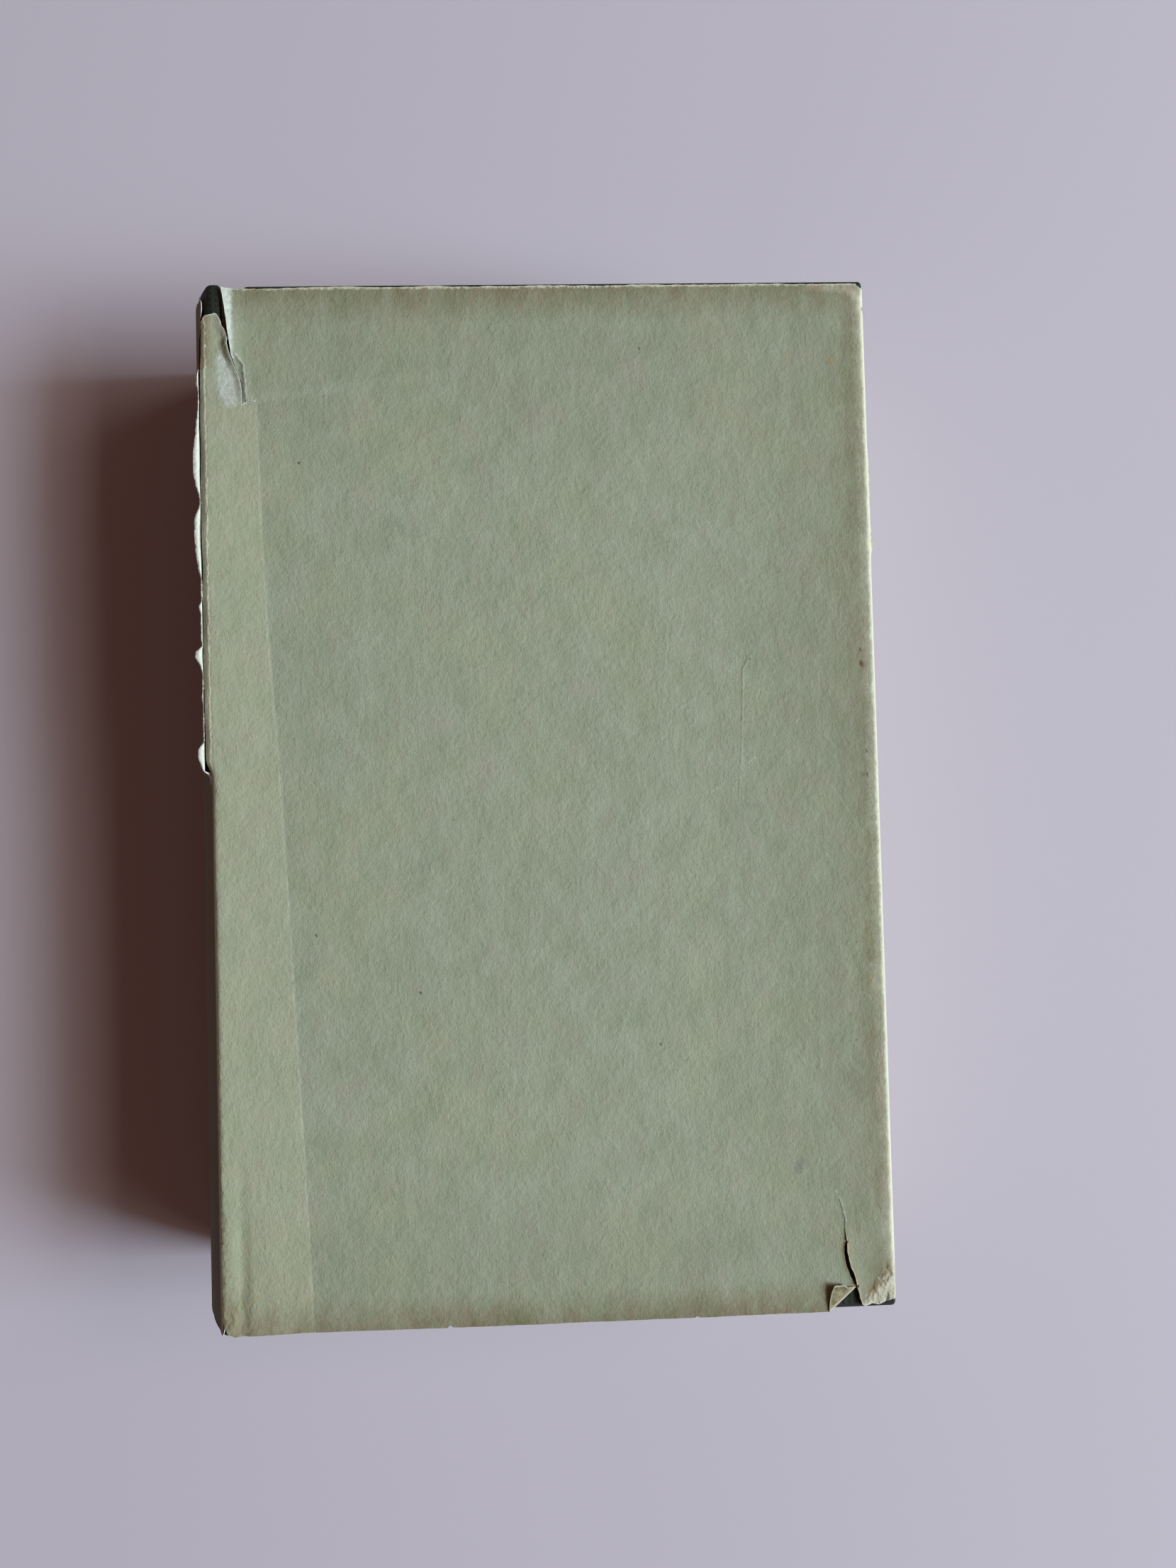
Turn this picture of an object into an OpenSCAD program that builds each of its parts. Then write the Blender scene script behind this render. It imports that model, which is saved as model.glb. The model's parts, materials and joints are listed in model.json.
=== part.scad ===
// A cloth-cased hardback in a plain, torn paper jacket, lying on its back cover.
// The spine is at -X, the fore-edge at +X and the head at +Y. The floor is z = 0.

/* [Leaves] */
// Thickness of the block of leaves at the fore-edge
leaves_t = 40; // [20:1:60]
// How far the boards stand out past the leaves at head and tail
end_square = 3; // [1.5:0.5:8]
// How far the boards stand out past the leaves at the fore-edge
fore_square = 3.5; // [1:0.5:8]
// Depth of the hollow in the fore-edge
fore_hollow = 5.5; // [2:0.5:12]
// Number of folded sections that are sewn together
sections = 20; // [8:1:40]
// Depth of the furrow between two sections on the spine
furrow = 0.25; // [0.1:0.05:0.6]
// Radius of the bend where the outer leaves turn up into the shoulder
bend_r = 1.8; // [1.2:0.1:2.2]

/* [Case] */
// Height of the cloth case, head to tail
case_h = 222; // [150:1:320]
// Width of the whole book, from the round of the spine to the fore-edge
book_w = 149.5; // [120:0.5:240]
// Thickness of a board
board_t = 2.5; // [1.8:0.1:4]
// Thickness of the book cloth
cloth_t = 0.4; // [0.2:0.05:0.6]
// Width of the cloth turned in over the inside of a board
turn_in = 15; // [8:1:25]
// Width of the cut where two turn-ins meet at a corner
mitre = 0.2; // [0.1:0.05:0.4]
// Distance from the hinge line to the clothed edge of a board
hinge_r = 5.5; // [5:0.1:8]
// Running gap between what turns with a cover and what stays with the leaves
hinge_gap = 0.2; // [0.1:0.05:0.5]
// Gap between a closed cover and the endpaper under it
cover_gap = 0.25; // [0.1:0.05:0.5]

/* [Spine] */
// Depth of the round of the spine, outside
spine_round = 7.5; // [4:0.5:9]
// How far the front shoulder stands above the front board
proud = 0.8; // [0.3:0.1:1]
// Distance from the jacket's fold at the shoulder to the hinge line
fold_to_hinge = 2; // [1.5:0.1:2.5]
// Thickness of the mull, the gauze glued over the sewn spine
mull_t = 0.2; // [0.1:0.05:0.4]
// Width of the mull that is glued to each board
mull_w = 25; // [10:1:40]
// How much shorter than the leaves the mull is at each end
mull_short = 14; // [12:1:30]
// Thickness of the paper lining over the mull
lining_t = 0.2; // [0.1:0.05:0.3]
// Thickness of the paper stiffener inside the spine cloth
stiffener_t = 0.5; // [0.3:0.05:0.8]
// How far the lining reaches past the stiffener, towards each shoulder
lining_over = 1.5; // [0.5:0.5:3]
// Width of the hollow behind the leaves at the middle of the spine
hollow = 0.9; // [0.7:0.05:1.5]
// Radius of the cord in a head band
band_r = 0.7; // [0.4:0.05:1]
// Pitch of the silk turns on a head band
band_pitch = 1.6; // [1:0.1:3]

/* [Endpapers] */
// Thickness of an endpaper
paper_t = 0.15; // [0.1:0.05:0.3]
// Cloth left bare around a pasted endpaper
bare = 3.5; // [2:0.5:7]

/* [Jacket] */
// Thickness of the jacket's paper
jacket_t = 0.2; // [0.1:0.05:0.3]
// Width of a flap
flap_w = 88; // [30:1:100]
// How far the jacket hangs past the boards at the tail
jacket_low = 0.5; // [0:0.05:2]
// How far the jacket stops short of the boards at the head
jacket_short = 0.75; // [0:0.05:2]
// Slack of the jacket over the round of the spine
slack = 0.1; // [0.05:0.05:0.5]
// Depth of the valley that the jacket has over the front groove
valley = 0.5; // [0.1:0.1:1]

/* [Wear] */
// Length of the split along the front fold, from the head
split_l = 103; // [40:1:140]
// Width of that split
split_w = 0.3; // [0.1:0.05:0.6]
// Depth of the paper lost at the head of the spine
lost_head = 5.6; // [3:0.2:12]
// How far down the round of the spine that loss reaches
lost_drop = 3; // [1.5:0.5:6]
// Width of the torn tail corner of the front, along the tail
lost_w = 14.7; // [12:0.1:18]
// Depth of that corner, up from the tail
lost_d = 4.9; // [3:0.1:7]
// Length of the tear that runs up from that corner, from the tail
tear_l = 25; // [18:1:60]
// Width of that tear
tear_w = 0.5; // [0.3:0.1:1]
// Angle at which the folded-over corner stands up from the panel
curl = 12; // [5:1:30]

/* [Hidden] */

green_paper = "#929982";
green_cloth = "#2f362a";
cream_paper = "#d9cdb0";
grey_board = "#8f8a7e";
gauze = "#cfc8b4";
brown_paper = "#a08a66";

// Film of glue between curved layers, so that they meet without cutting into each other
glue = 0.03;
// Steps in each arc of the spine and the fore-edge
arc_steps = 40;
// More than any part measures, for cuts that run right through
far = 400;

// A cover from outside to inside: jacket, cloth, board, turned-in cloth, endpaper, flap
board_z = jacket_t + cloth_t;
inside_z = board_z + board_t;
paste_z = inside_z + cloth_t + paper_t;
cover_t = paste_z + jacket_t;
closed_t = leaves_t + 2 * (cover_t + cover_gap + paper_t);
top_z = closed_t + proud;
mid_z = top_z / 2;

// The outer faces of the leaves
leaf_lo = cover_t + cover_gap + paper_t;
leaf_hi = leaf_lo + leaves_t;

// Places along X
fore_x = book_w / 2;
crown_x = -book_w / 2;
fold_x = crown_x + spine_round;
hinge_x = fold_x + fold_to_hinge;
edge_x = hinge_x + hinge_r;
cloth_x = fore_x - jacket_t;
board_x = cloth_x - cloth_t;
leaf_x = board_x - fore_square;
turn_x = cloth_x - turn_in;

// Places along Y
tail_y = -(case_h + jacket_low) / 2;
case_tail = tail_y + jacket_low;
case_head = case_tail + case_h;
jacket_head = case_head - jacket_short;
leaf_tail = case_tail + end_square;
leaf_head = case_head - end_square;
mull_tail = leaf_tail + mull_short;
mull_head = leaf_head - mull_short;

// What stays with the leaves ends inside this radius of the hinge line
still_r = hinge_r - hinge_gap;
strip_x = hinge_x + sqrt(pow(still_r, 2) - pow(cover_t / 2 + cover_gap + paper_t, 2));
bridge_x = hinge_x + sqrt(pow(still_r, 2) - pow(cover_t / 2, 2));
panel_x = hinge_x + sqrt(pow(hinge_r, 2) - pow(cover_t / 2 - jacket_t, 2));

// Half the height of the shoulders, from the middle of the spine
shoulder = mid_z - jacket_t - cloth_t - mull_t;
// How a corner of the spine moves in as a layer is taken off it
lean = asin(mid_z / round_r(fold_x, mid_z, crown_x));
corner = tan(45 - lean / 2);
tip_x = fold_x + corner * (jacket_t + cloth_t + mull_t);

// The round of the leaves and of the cloth, at the middle of the spine
cloth_in = crown_x + jacket_t + slack + cloth_t;
leaf_crown = cloth_in + stiffener_t + hollow + lining_t + mull_t;

// Radius of an arc that leaves x = end, half above and half below, and reaches x = crown
function round_r(end, half, crown) =
    (pow(end - crown, 2) + half * half) / (2 * (end - crown));

// How far from the middle of the spine a layer reaches where it leaves this much of the hollow
function hollow_half(rest) = shoulder * sqrt(rest / (hollow + stiffener_t + lining_t));

// Points of such an arc from its upper end to its lower end
function round_pts(end, half, crown) =
    let (r = round_r(end, half, crown), a = asin(half / r))
    [for (i = [0 : arc_steps]) let (t = a * (1 - 2 * i / arc_steps))
        [crown + r - r * cos(t), mid_z + r * sin(t)]];

// Points of the slice of a ring round [cx, mid_z] between two radii, half above and below
function ring_pts(cx, r_in, r_out, half) =
    let (a = asin(half / r_out), b = asin(half / r_in))
    concat(
        [for (i = [0 : arc_steps]) let (t = a * (1 - 2 * i / arc_steps))
            [cx - r_out * cos(t), mid_z + r_out * sin(t)]],
        [for (i = [0 : arc_steps]) let (t = b * (2 * i / arc_steps - 1))
            [cx - r_in * cos(t), mid_z + r_in * sin(t)]]);

function reversed(list) = [for (i = [len(list) - 1 : -1 : 0]) list[i]];

// The way from the groove's floor up the shoulder: side is 1 at the front and -1 at the back,
// off the distance from the leaves and over the distance above the shoulder's top
function groove_pts(side, face, off, over) = concat(
    [[strip_x, face + side * off]],
    [for (a = [0 : 15 : 90])
        [hinge_x + bend_r - (bend_r - off) * sin(a),
         face + side * (bend_r - (bend_r - off) * cos(a))]],
    [[hinge_x + off, mid_z + side * (shoulder + over)]]);

// One face of a sheet that runs from the front groove over the spine to the back groove
function wrap_pts(off, over, crown) = concat(
    groove_pts(1, leaf_hi, off, over),
    round_pts(tip_x - corner * over, shoulder + over, crown),
    reversed(groove_pts(-1, leaf_lo, off, over)));

// Draws a flat shape of X and Z from one Y to another
module along_y(y0, y1) {
    translate([0, y1, 0]) rotate([90, 0, 0]) linear_extrude(y1 - y0) children();
}

// A block between two corners
module block(lo, hi) { translate(lo) cube(hi - lo); }

// Turns the back cover's layers over to make the front cover's
module as_front() { translate([0, 0, closed_t]) mirror([0, 0, 1]) children(); }

// The sewn leaves: a round spine with a furrow between sections, shoulders and a hollow fore-edge
module text_block() {
    r = round_r(tip_x, shoulder, leaf_crown);
    a = asin(shoulder / r);
    steps = 4 * sections;
    spine = [for (i = [1 : steps - 1])
        let (t = a * (1 - 2 * i / steps), dip = i % 4 == 0 ? furrow : 0)
        [leaf_crown + r - (r - dip) * cos(t), mid_z + (r - dip) * sin(t)]];
    fore_r = round_r(leaf_x, leaves_t / 2, leaf_x - fore_hollow);
    fore_a = asin(leaves_t / 2 / fore_r);
    fore = [for (i = [0 : arc_steps]) let (t = fore_a * (2 * i / arc_steps - 1))
        [leaf_x - fore_hollow + fore_r - fore_r * cos(t), (leaf_lo + leaf_hi) / 2 + fore_r * sin(t)]];
    color(cream_paper) along_y(leaf_tail, leaf_head)
        polygon(concat(
            fore,
            [for (a = [0 : 15 : 90])
                [hinge_x + bend_r - bend_r * sin(a), leaf_hi + bend_r - bend_r * cos(a)]],
            [[hinge_x, mid_z + shoulder], [tip_x, mid_z + shoulder]],
            spine,
            [[tip_x, mid_z - shoulder], [hinge_x, mid_z - shoulder]],
            [for (a = [90 : -15 : 0])
                [hinge_x + bend_r - bend_r * sin(a), leaf_lo - bend_r + bend_r * cos(a)]]));
}

// A free endpaper, with the fold that it shares with the pasted one up the shoulder
module flyleaf(side, face) {
    color(cream_paper) along_y(leaf_tail, leaf_head)
        polygon(concat(
            [[leaf_x, face]],
            groove_pts(side, face, 0, 0),
            reversed(groove_pts(side, face, 2 * paper_t, 0)),
            [[strip_x, face + side * paper_t], [leaf_x, face + side * paper_t]]));
}

module front_flyleaf() { flyleaf(1, leaf_hi); }
module back_flyleaf() { flyleaf(-1, leaf_lo); }

// The gauze over the spine, down both shoulders and across the grooves
module spine_mull() {
    color(gauze) along_y(mull_tail, mull_head)
        polygon(concat(
            wrap_pts(2 * paper_t + mull_t, mull_t, leaf_crown - mull_t),
            reversed(wrap_pts(2 * paper_t, glue, leaf_crown - glue))));
}

// The paper glued over the mull, a little wider than the stiffener
module spine_lining() {
    r = round_r(tip_x, shoulder, leaf_crown) + mull_t + glue;
    color(brown_paper) along_y(mull_tail, mull_head)
        polygon(ring_pts(leaf_crown + r - mull_t - glue, r, r + lining_t, stiffener_half + lining_over));
}

// A head band: a cord across the end of the spine, ribbed by its silk turns
module band(y) {
    r = round_r(tip_x, shoulder, leaf_crown) - band_r - furrow;
    half = shoulder - 2 * band_r;
    turns = round(2 * half / band_pitch);
    a = asin(half / r);
    color(cream_paper) translate([leaf_crown + band_r + furrow + r, y, mid_z]) {
        rotate([90, 0, 0]) rotate([0, 0, 180 - a]) rotate_extrude(angle = 2 * a, $fn = 180)
            translate([r, 0]) circle(band_r * 0.9, $fn = 24);
        for (i = [0 : turns]) rotate([0, a - 2 * a * i / turns, 0]) translate([-r, 0, 0])
            cylinder(h = band_pitch * 0.62, r = band_r, center = true, $fn = 24);
    }
}

module head_band() { band(leaf_head + band_r); }
module tail_band() { band(leaf_tail - band_r); }

// The round of the cloth, which the stiffener and the cloth turned in at its ends follow
cloth_end = tip_x - corner * mull_t;
cloth_half = shoulder + mull_t;
cloth_r = round_r(cloth_end, cloth_half, cloth_in);
stiffener_half = hollow_half(hollow - 3 * glue);
turned_half = hollow_half(hollow - cloth_t - 5 * glue);

module spine_stiffener() {
    color(brown_paper) along_y(case_tail + cloth_t, case_head - cloth_t)
        polygon(ring_pts(cloth_in + cloth_r, cloth_r - glue - stiffener_t, cloth_r - glue,
                         stiffener_half));
}

// The spine and grooves of the case, turned in round the ends of the stiffener
module spine_cloth() {
    off = 2 * paper_t + mull_t;
    turned_r = cloth_r - 2 * glue - stiffener_t;
    color(green_cloth) {
        along_y(case_tail, case_head)
            polygon(concat(
                wrap_pts(off + cloth_t, mull_t + cloth_t, cloth_in - cloth_t),
                reversed(wrap_pts(off, mull_t, cloth_in))));
        for (end = [[case_tail, case_tail + turn_in], [case_head - turn_in, case_head]])
            along_y(end[0], end[1])
                polygon(ring_pts(cloth_in + cloth_r, turned_r - cloth_t, turned_r, turned_half));
        for (end = [case_tail, case_head - cloth_t])
            along_y(end, end + cloth_t)
                polygon(ring_pts(cloth_in + cloth_r, turned_r - cloth_t, cloth_r + cloth_t / 2,
                                 turned_half));
    }
}

module board() {
    block([edge_x + cloth_t, case_tail + cloth_t, board_z],
          [board_x, case_head - cloth_t, inside_z]);
}

// Where the cloth is turned in over the inside of a board, from one level to another
module turned_in(z0, z1) {
    difference() {
        block([edge_x, case_tail, z0], [cloth_x, case_head, z1]);
        block([edge_x - 1, case_tail + turn_in, z0 - 1], [turn_x, case_head - turn_in, z1 + 1]);
    }
}

// The cloth on one board: the outside, three edges, the turn-ins and the side of the groove
module cover_cloth() {
    reach = sqrt(2) * (turn_in - cloth_t) + 1;
    difference() {
        union() {
            block([edge_x, case_tail, jacket_t], [cloth_x, case_head, inside_z]);
            turned_in(inside_z, inside_z + cloth_t);
        }
        board();
        for (end = [[case_head - cloth_t, 225], [case_tail + cloth_t, 135]])
            translate([board_x, end[0], inside_z]) rotate([0, 0, end[1]])
                translate([0, -mitre / 2, 0]) cube([reach, mitre, 2 * cloth_t]);
    }
}

// The part of the mull that is glued to a board
module mull_flange(extra) {
    block([edge_x, mull_tail - extra, inside_z],
          [edge_x + mull_w + extra, mull_head + extra, inside_z + mull_t + extra]);
}

// The pasted endpaper, which steps up over the turn-ins and over the mull
module pastedown() {
    difference() {
        block([edge_x, case_tail + bare, inside_z], [cloth_x - bare, case_head - bare, paste_z]);
        turned_in(inside_z - 1, inside_z + cloth_t);
        difference() {
            block([edge_x - 1, case_tail + turn_in + paper_t, inside_z + paper_t],
                  [turn_x - paper_t, case_head - turn_in - paper_t, paste_z + 1]);
            mull_flange(paper_t);
        }
        mull_flange(0);
    }
}

// The jacket on one board: the panel, the fold round the fore-edge and the flap
module cover_jacket() {
    difference() {
        block([panel_x, tail_y, 0], [fore_x, jacket_head, cover_t]);
        block([panel_x - 1, tail_y - 1, jacket_t], [cloth_x, jacket_head + 1, cover_t - jacket_t]);
        block([panel_x - 1, tail_y - 1, cover_t - jacket_t - 1],
              [fore_x - flap_w, jacket_head + 1, cover_t + 1]);
    }
}

module front_board() { color(grey_board) as_front() board(); }
module front_cloth() { color(green_cloth) as_front() cover_cloth(); }
module front_mull_flange() { color(gauze) as_front() mull_flange(0); }
module front_pastedown() { color(cream_paper) as_front() pastedown(); }
module back_board() { color(grey_board) board(); }
module back_cloth() { color(green_cloth) cover_cloth(); }
module back_mull_flange() { color(gauze) mull_flange(0); }
module back_pastedown() { color(cream_paper) pastedown(); }
module jacket_back() { color(green_paper) cover_jacket(); }

// The ends of the line on which the torn corner of the front panel is folded over
fold_low = [fore_x - lost_w, tail_y];
fold_high = [fore_x - 0.6 * lost_w, tail_y + lost_d];

// What is gone from the front panel: the corner, and the tear that runs up from it
module corner_loss() {
    wide = [tear_w, 0];
    left = [fold_high, fold_high + [-0.3, 1.2], fold_high + [-1.6, 5.1], fold_high + [-1.9, 10]];
    right = [fold_high + [0, 1.2], fold_high + [-1.5, 5.1], fold_high + [-1.9, 10]];
    polygon(concat(
        [[fold_low[0], tail_y - 1], fold_low],
        left,
        [[fold_high[0] - 3.6, tail_y + tear_l]],
        [for (p = reversed(right)) p + wide],
        [[fold_high[0] + 1.1, tail_y + 1], [fore_x - 3.8, tail_y + 0.6], [fore_x - 1.7, tail_y + 2.1],
         [fore_x - 0.3, tail_y + 3], [fore_x + 1, tail_y + 4.5], [fore_x + 1, tail_y - 1]]));
}

// The corner itself, folded back over the panel on the line between fold_low and fold_high
module folded_corner() {
    run = fold_high - fold_low;
    l = norm(run);
    translate([fold_low[0], fold_low[1], closed_t - jacket_t / 2]) rotate([0, 0, atan2(run[1], run[0])])
        rotate([curl, 0, 0]) linear_extrude(jacket_t)
            polygon([[0.2, 2 * glue], [l - 0.1, 2 * glue], [l - 1, 1.4], [0.75 * l, 1.6],
                     [0.63 * l, 3.9], [0.5 * l, 3.6]]);
}

module jacket_front() {
    color(green_paper) {
        difference() {
            as_front() cover_jacket();
            translate([0, 0, closed_t - cover_t / 2]) linear_extrude(cover_t) corner_loss();
        }
        folded_corner();
    }
}

// What is torn from the spine's head: a bite over the shoulder and a wedge down the groove
module head_loss() {
    x = fold_x;
    y = jacket_head - lost_head;
    polygon([
        [x - 0.7, jacket_head + 1], [x - 0.7, y + 1.6], [x - 1.4, y - 1], [x - 0.6, y - 0.5],
        [x + 0.8, y - 0.1], [x + 1.8, y], [x + 2.6, y - 2], [x + 3.3, y - 4], [x + 3.9, y - 5.3],
        [x + 5.2, y - 11], [x + 4.4, y - 6.5], [x + 4, y - 2.8], [x + 3.1, jacket_head + 1]
    ]);
}

// The jacket on the spine, with the strips that bridge the two grooves
module jacket_spine() {
    low = hinge_x + bend_r + 0.6;
    top = mid_z - jacket_t;
    outer = concat(
        [[bridge_x, closed_t], [low, closed_t - valley], [hinge_x + 1, top_z]],
        round_pts(fold_x, mid_z, crown_x),
        [[bridge_x, 0]]);
    inner = concat(
        [[bridge_x, closed_t - jacket_t], [low, closed_t - valley - jacket_t], [hinge_x + 1, top_z - jacket_t]],
        round_pts(fold_x + corner * jacket_t, top, crown_x + jacket_t),
        [[bridge_x, jacket_t]]);
    color(green_paper) difference() {
        along_y(tail_y, jacket_head) polygon(concat(outer, reversed(inner)));
        translate([0, 0, mid_z + shoulder - lost_drop]) linear_extrude(far) head_loss();
        block([fold_x - split_w / 2, jacket_head - split_l, mid_z],
              [fold_x + split_w / 2, far, far]);
    }
}

text_block();
front_flyleaf();
back_flyleaf();
spine_mull();
spine_lining();
head_band();
tail_band();
spine_stiffener();
spine_cloth();
jacket_spine();
front_board();
front_cloth();
front_mull_flange();
front_pastedown();
jacket_front();
back_board();
back_cloth();
back_mull_flange();
back_pastedown();
jacket_back();
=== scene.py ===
import json
import math

import bmesh
import bpy
import numpy as np
from mathutils import Matrix, Vector
from mathutils.geometry import delaunay_2d_cdt


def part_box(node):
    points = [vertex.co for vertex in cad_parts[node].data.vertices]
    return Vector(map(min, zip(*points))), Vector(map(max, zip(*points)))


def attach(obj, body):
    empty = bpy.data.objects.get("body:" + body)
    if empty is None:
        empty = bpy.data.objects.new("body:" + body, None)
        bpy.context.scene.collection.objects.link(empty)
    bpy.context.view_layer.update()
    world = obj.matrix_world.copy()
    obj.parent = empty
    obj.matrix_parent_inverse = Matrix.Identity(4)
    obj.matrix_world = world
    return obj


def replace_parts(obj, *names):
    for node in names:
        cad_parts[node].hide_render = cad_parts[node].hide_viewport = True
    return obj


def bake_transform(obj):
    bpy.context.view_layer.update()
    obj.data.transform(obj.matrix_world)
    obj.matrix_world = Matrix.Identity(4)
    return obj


# A hardback in a worn paper jacket, lying on its back cover. All values are in millimetres
# in the part's own frame: spine at -X, head at +Y. Lengths turn to metres when a mesh is made.

mm = 0.001
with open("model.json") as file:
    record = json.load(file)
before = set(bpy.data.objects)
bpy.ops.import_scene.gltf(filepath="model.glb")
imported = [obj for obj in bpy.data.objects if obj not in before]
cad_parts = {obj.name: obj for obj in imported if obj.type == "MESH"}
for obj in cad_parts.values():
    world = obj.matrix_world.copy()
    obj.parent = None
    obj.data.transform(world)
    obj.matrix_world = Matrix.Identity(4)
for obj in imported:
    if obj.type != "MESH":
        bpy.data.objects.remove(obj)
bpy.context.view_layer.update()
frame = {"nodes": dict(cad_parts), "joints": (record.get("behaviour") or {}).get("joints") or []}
print("frame loaded:", len(frame["nodes"]), "nodes")


def corners(node):
    low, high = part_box(node)
    return [v / mm for v in low], [v / mm for v in high]


jacketLow, jacketHigh = corners("jacket_back")
spineLow, spineHigh = corners("jacket_spine")
clothLow, clothHigh = corners("front_cloth")
caseLow = corners("spine_cloth")[0]
leafLow, leafHigh = corners("text_block")
flyLow, flyHigh = corners("front_flyleaf")
pasteLow, pasteHigh = corners("front_pastedown")
mullLow, mullHigh = corners("spine_mull")
flangeLow, flangeHigh = corners("front_mull_flange")
hinges = {j["name"]: [v / mm for v in j["pos_m"]] for j in frame["joints"]}

book = {
    "crownX": spineLow[0], "foreX": jacketHigh[0],
    "tail": jacketLow[1], "head": jacketHigh[1],
    "top": clothHigh[2] + 0.2,             # outside of the front panel
    "shoulderTop": spineHigh[2],
    "hingeX": hinges["front_hinge"][0],
    "coverT": jacketHigh[2] - jacketLow[2],  # jacket, cloth, board, turn-in, endpaper, flap
    "boardEdge": clothLow[0],
    "midZ": (spineLow[2] + spineHigh[2]) / 2,
}


# General helpers

def hexColour(code):
    parts = [int(code[i:i + 2], 16) / 255 for i in (0, 2, 4)]
    return tuple(c / 12.92 if c <= 0.04045 else ((c + 0.055) / 1.055) ** 2.4 for c in parts) + (1,)


def addNode(tree, kind, settings):
    # Adds a node. A value that is a socket is linked, a name of the node's own is set on it,
    # and anything else goes to the input of that name. Gives back the node's first live output.
    node = tree.nodes.new("ShaderNode" + kind)
    for key, value in settings.items():
        if isinstance(key, str) and hasattr(node, key):
            setattr(node, key, value)
            continue
        live = [s for s in node.inputs if s.enabled]
        socket = live[key] if isinstance(key, int) else next(s for s in live if s.name == key)
        if isinstance(value, bpy.types.NodeSocket):
            tree.links.new(value, socket)
        else:
            socket.default_value = value
    return next((s for s in node.outputs if s.enabled), node)


def newMaterial(name):
    material = bpy.data.materials.new(name)
    material.use_nodes = True
    tree = material.node_tree
    tree.nodes.clear()
    return material, tree


def finishMaterial(tree, settings, bumps=()):
    # Chains the bumps, each (height socket, depth in mm), into the shader's normal
    normal = None
    for height, depth in bumps:
        wanted = {"Strength": 1.0, "Distance": depth * mm, "Height": height}
        if normal:
            wanted["Normal"] = normal
        normal = addNode(tree, "Bump", wanted)
    if normal:
        settings["Normal"] = normal
    shader = addNode(tree, "BsdfPrincipled", settings)
    addNode(tree, "OutputMaterial", {"Surface": shader})


def noiseAt(tree, place, perMm, stretch=(1, 1, 1), detail=3.0, rough=0.55, seed=0.0):
    # Noise with perMm blotches a millimetre along X, less or more along the others
    scaled = vectorCalc(tree, "MULTIPLY", place, tuple(perMm * s for s in stretch))
    moved = vectorCalc(tree, "ADD", scaled, (seed, seed * 0.7, seed * 1.3))
    return addNode(tree, "TexNoise", {"Scale": 1.0, "Detail": detail, "Roughness": rough, "Vector": moved})


def spread(tree, value, low, high, outLow=0.0, outHigh=1.0):
    return addNode(tree, "MapRange", {
        "clamp": True, "Value": value, "From Min": low, "From Max": high,
        "To Min": outLow, "To Max": outHigh})


def blendColour(tree, amount, first, second, how="MIX"):
    return addNode(tree, "Mix", {
        "data_type": "RGBA", "blend_type": how, "Factor": amount, "A": first, "B": second})


def calc(tree, operation, *values):
    # One Math node, or a chain of them where there are more than two values
    out = addNode(tree, "Math", {"operation": operation} | dict(enumerate(values[:2])))
    for value in values[2:]:
        out = calc(tree, operation, out, value)
    return out


def plus(tree, *values):
    return calc(tree, "ADD", *values)


def times(tree, *values):
    return calc(tree, "MULTIPLY", *values)


def most(tree, values):
    return calc(tree, "MAXIMUM", *values) if len(values) > 1 else values[0]


def vectorCalc(tree, operation, first, second):
    return addNode(tree, "VectorMath", {"operation": operation, 0: first, 1: second})


def objectPlace(tree):
    # The place in millimetres of a point on a rigid piece
    place = addNode(tree, "TexCoord", {}).node.outputs["Object"]
    return addNode(tree, "VectorMath", {"operation": "SCALE", 0: place, "Scale": 1 / mm})


def paperPlace(tree):
    # The place in millimetres on the flat sheet, which stays with the paper when it bends
    return addNode(tree, "Attribute", {"attribute_name": "flat"}).node.outputs["Vector"]


def painted(tree, name):
    return addNode(tree, "Attribute", {"attribute_name": name}).node.outputs["Fac"]


def makeMesh(name, points, faces, materials, faceMaterials=None, values=None, sharp=40):
    # A smooth mesh from millimetres, with its named values for each vertex
    mesh = bpy.data.meshes.new(name)
    mesh.from_pydata((np.asarray(points, float) * mm).tolist(), [], [list(map(int, f)) for f in faces])
    for material in materials:
        mesh.materials.append(material)
    if faceMaterials is not None:
        mesh.polygons.foreach_set("material_index", np.asarray(faceMaterials, np.int32))
    for key, data in (values or {}).items():
        data = np.asarray(data, np.float32)
        flat = data.ndim == 1
        layer = mesh.attributes.new(key, "FLOAT" if flat else "FLOAT_VECTOR", "POINT")
        layer.data.foreach_set("value" if flat else "vector", data.ravel())
    mesh.polygons.foreach_set("use_smooth", np.ones(len(mesh.polygons), bool))
    mesh.set_sharp_from_angle(angle=math.radians(sharp))
    mesh.update()
    piece = bpy.data.objects.new(name, mesh)
    bpy.context.scene.collection.objects.link(piece)
    return piece


def faceNormals(points, faces):
    # The normals of triangles, each as long as twice the triangle's area
    a, b, c = (points[faces[:, i]] for i in range(3))
    return np.cross(b - a, c - a)


def vertexNormals(points, faces):
    normals = np.zeros_like(points)
    for face in (faces[:, [0, 1, 2]], faces[:, [0, 2, 3]]) if faces.shape[1] == 4 else (faces,):
        ofFaces = faceNormals(points, face)
        for i in range(3):
            np.add.at(normals, face[:, i], ofFaces)
    return normals / np.maximum(np.linalg.norm(normals, axis=1, keepdims=True), 1e-12)


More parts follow.
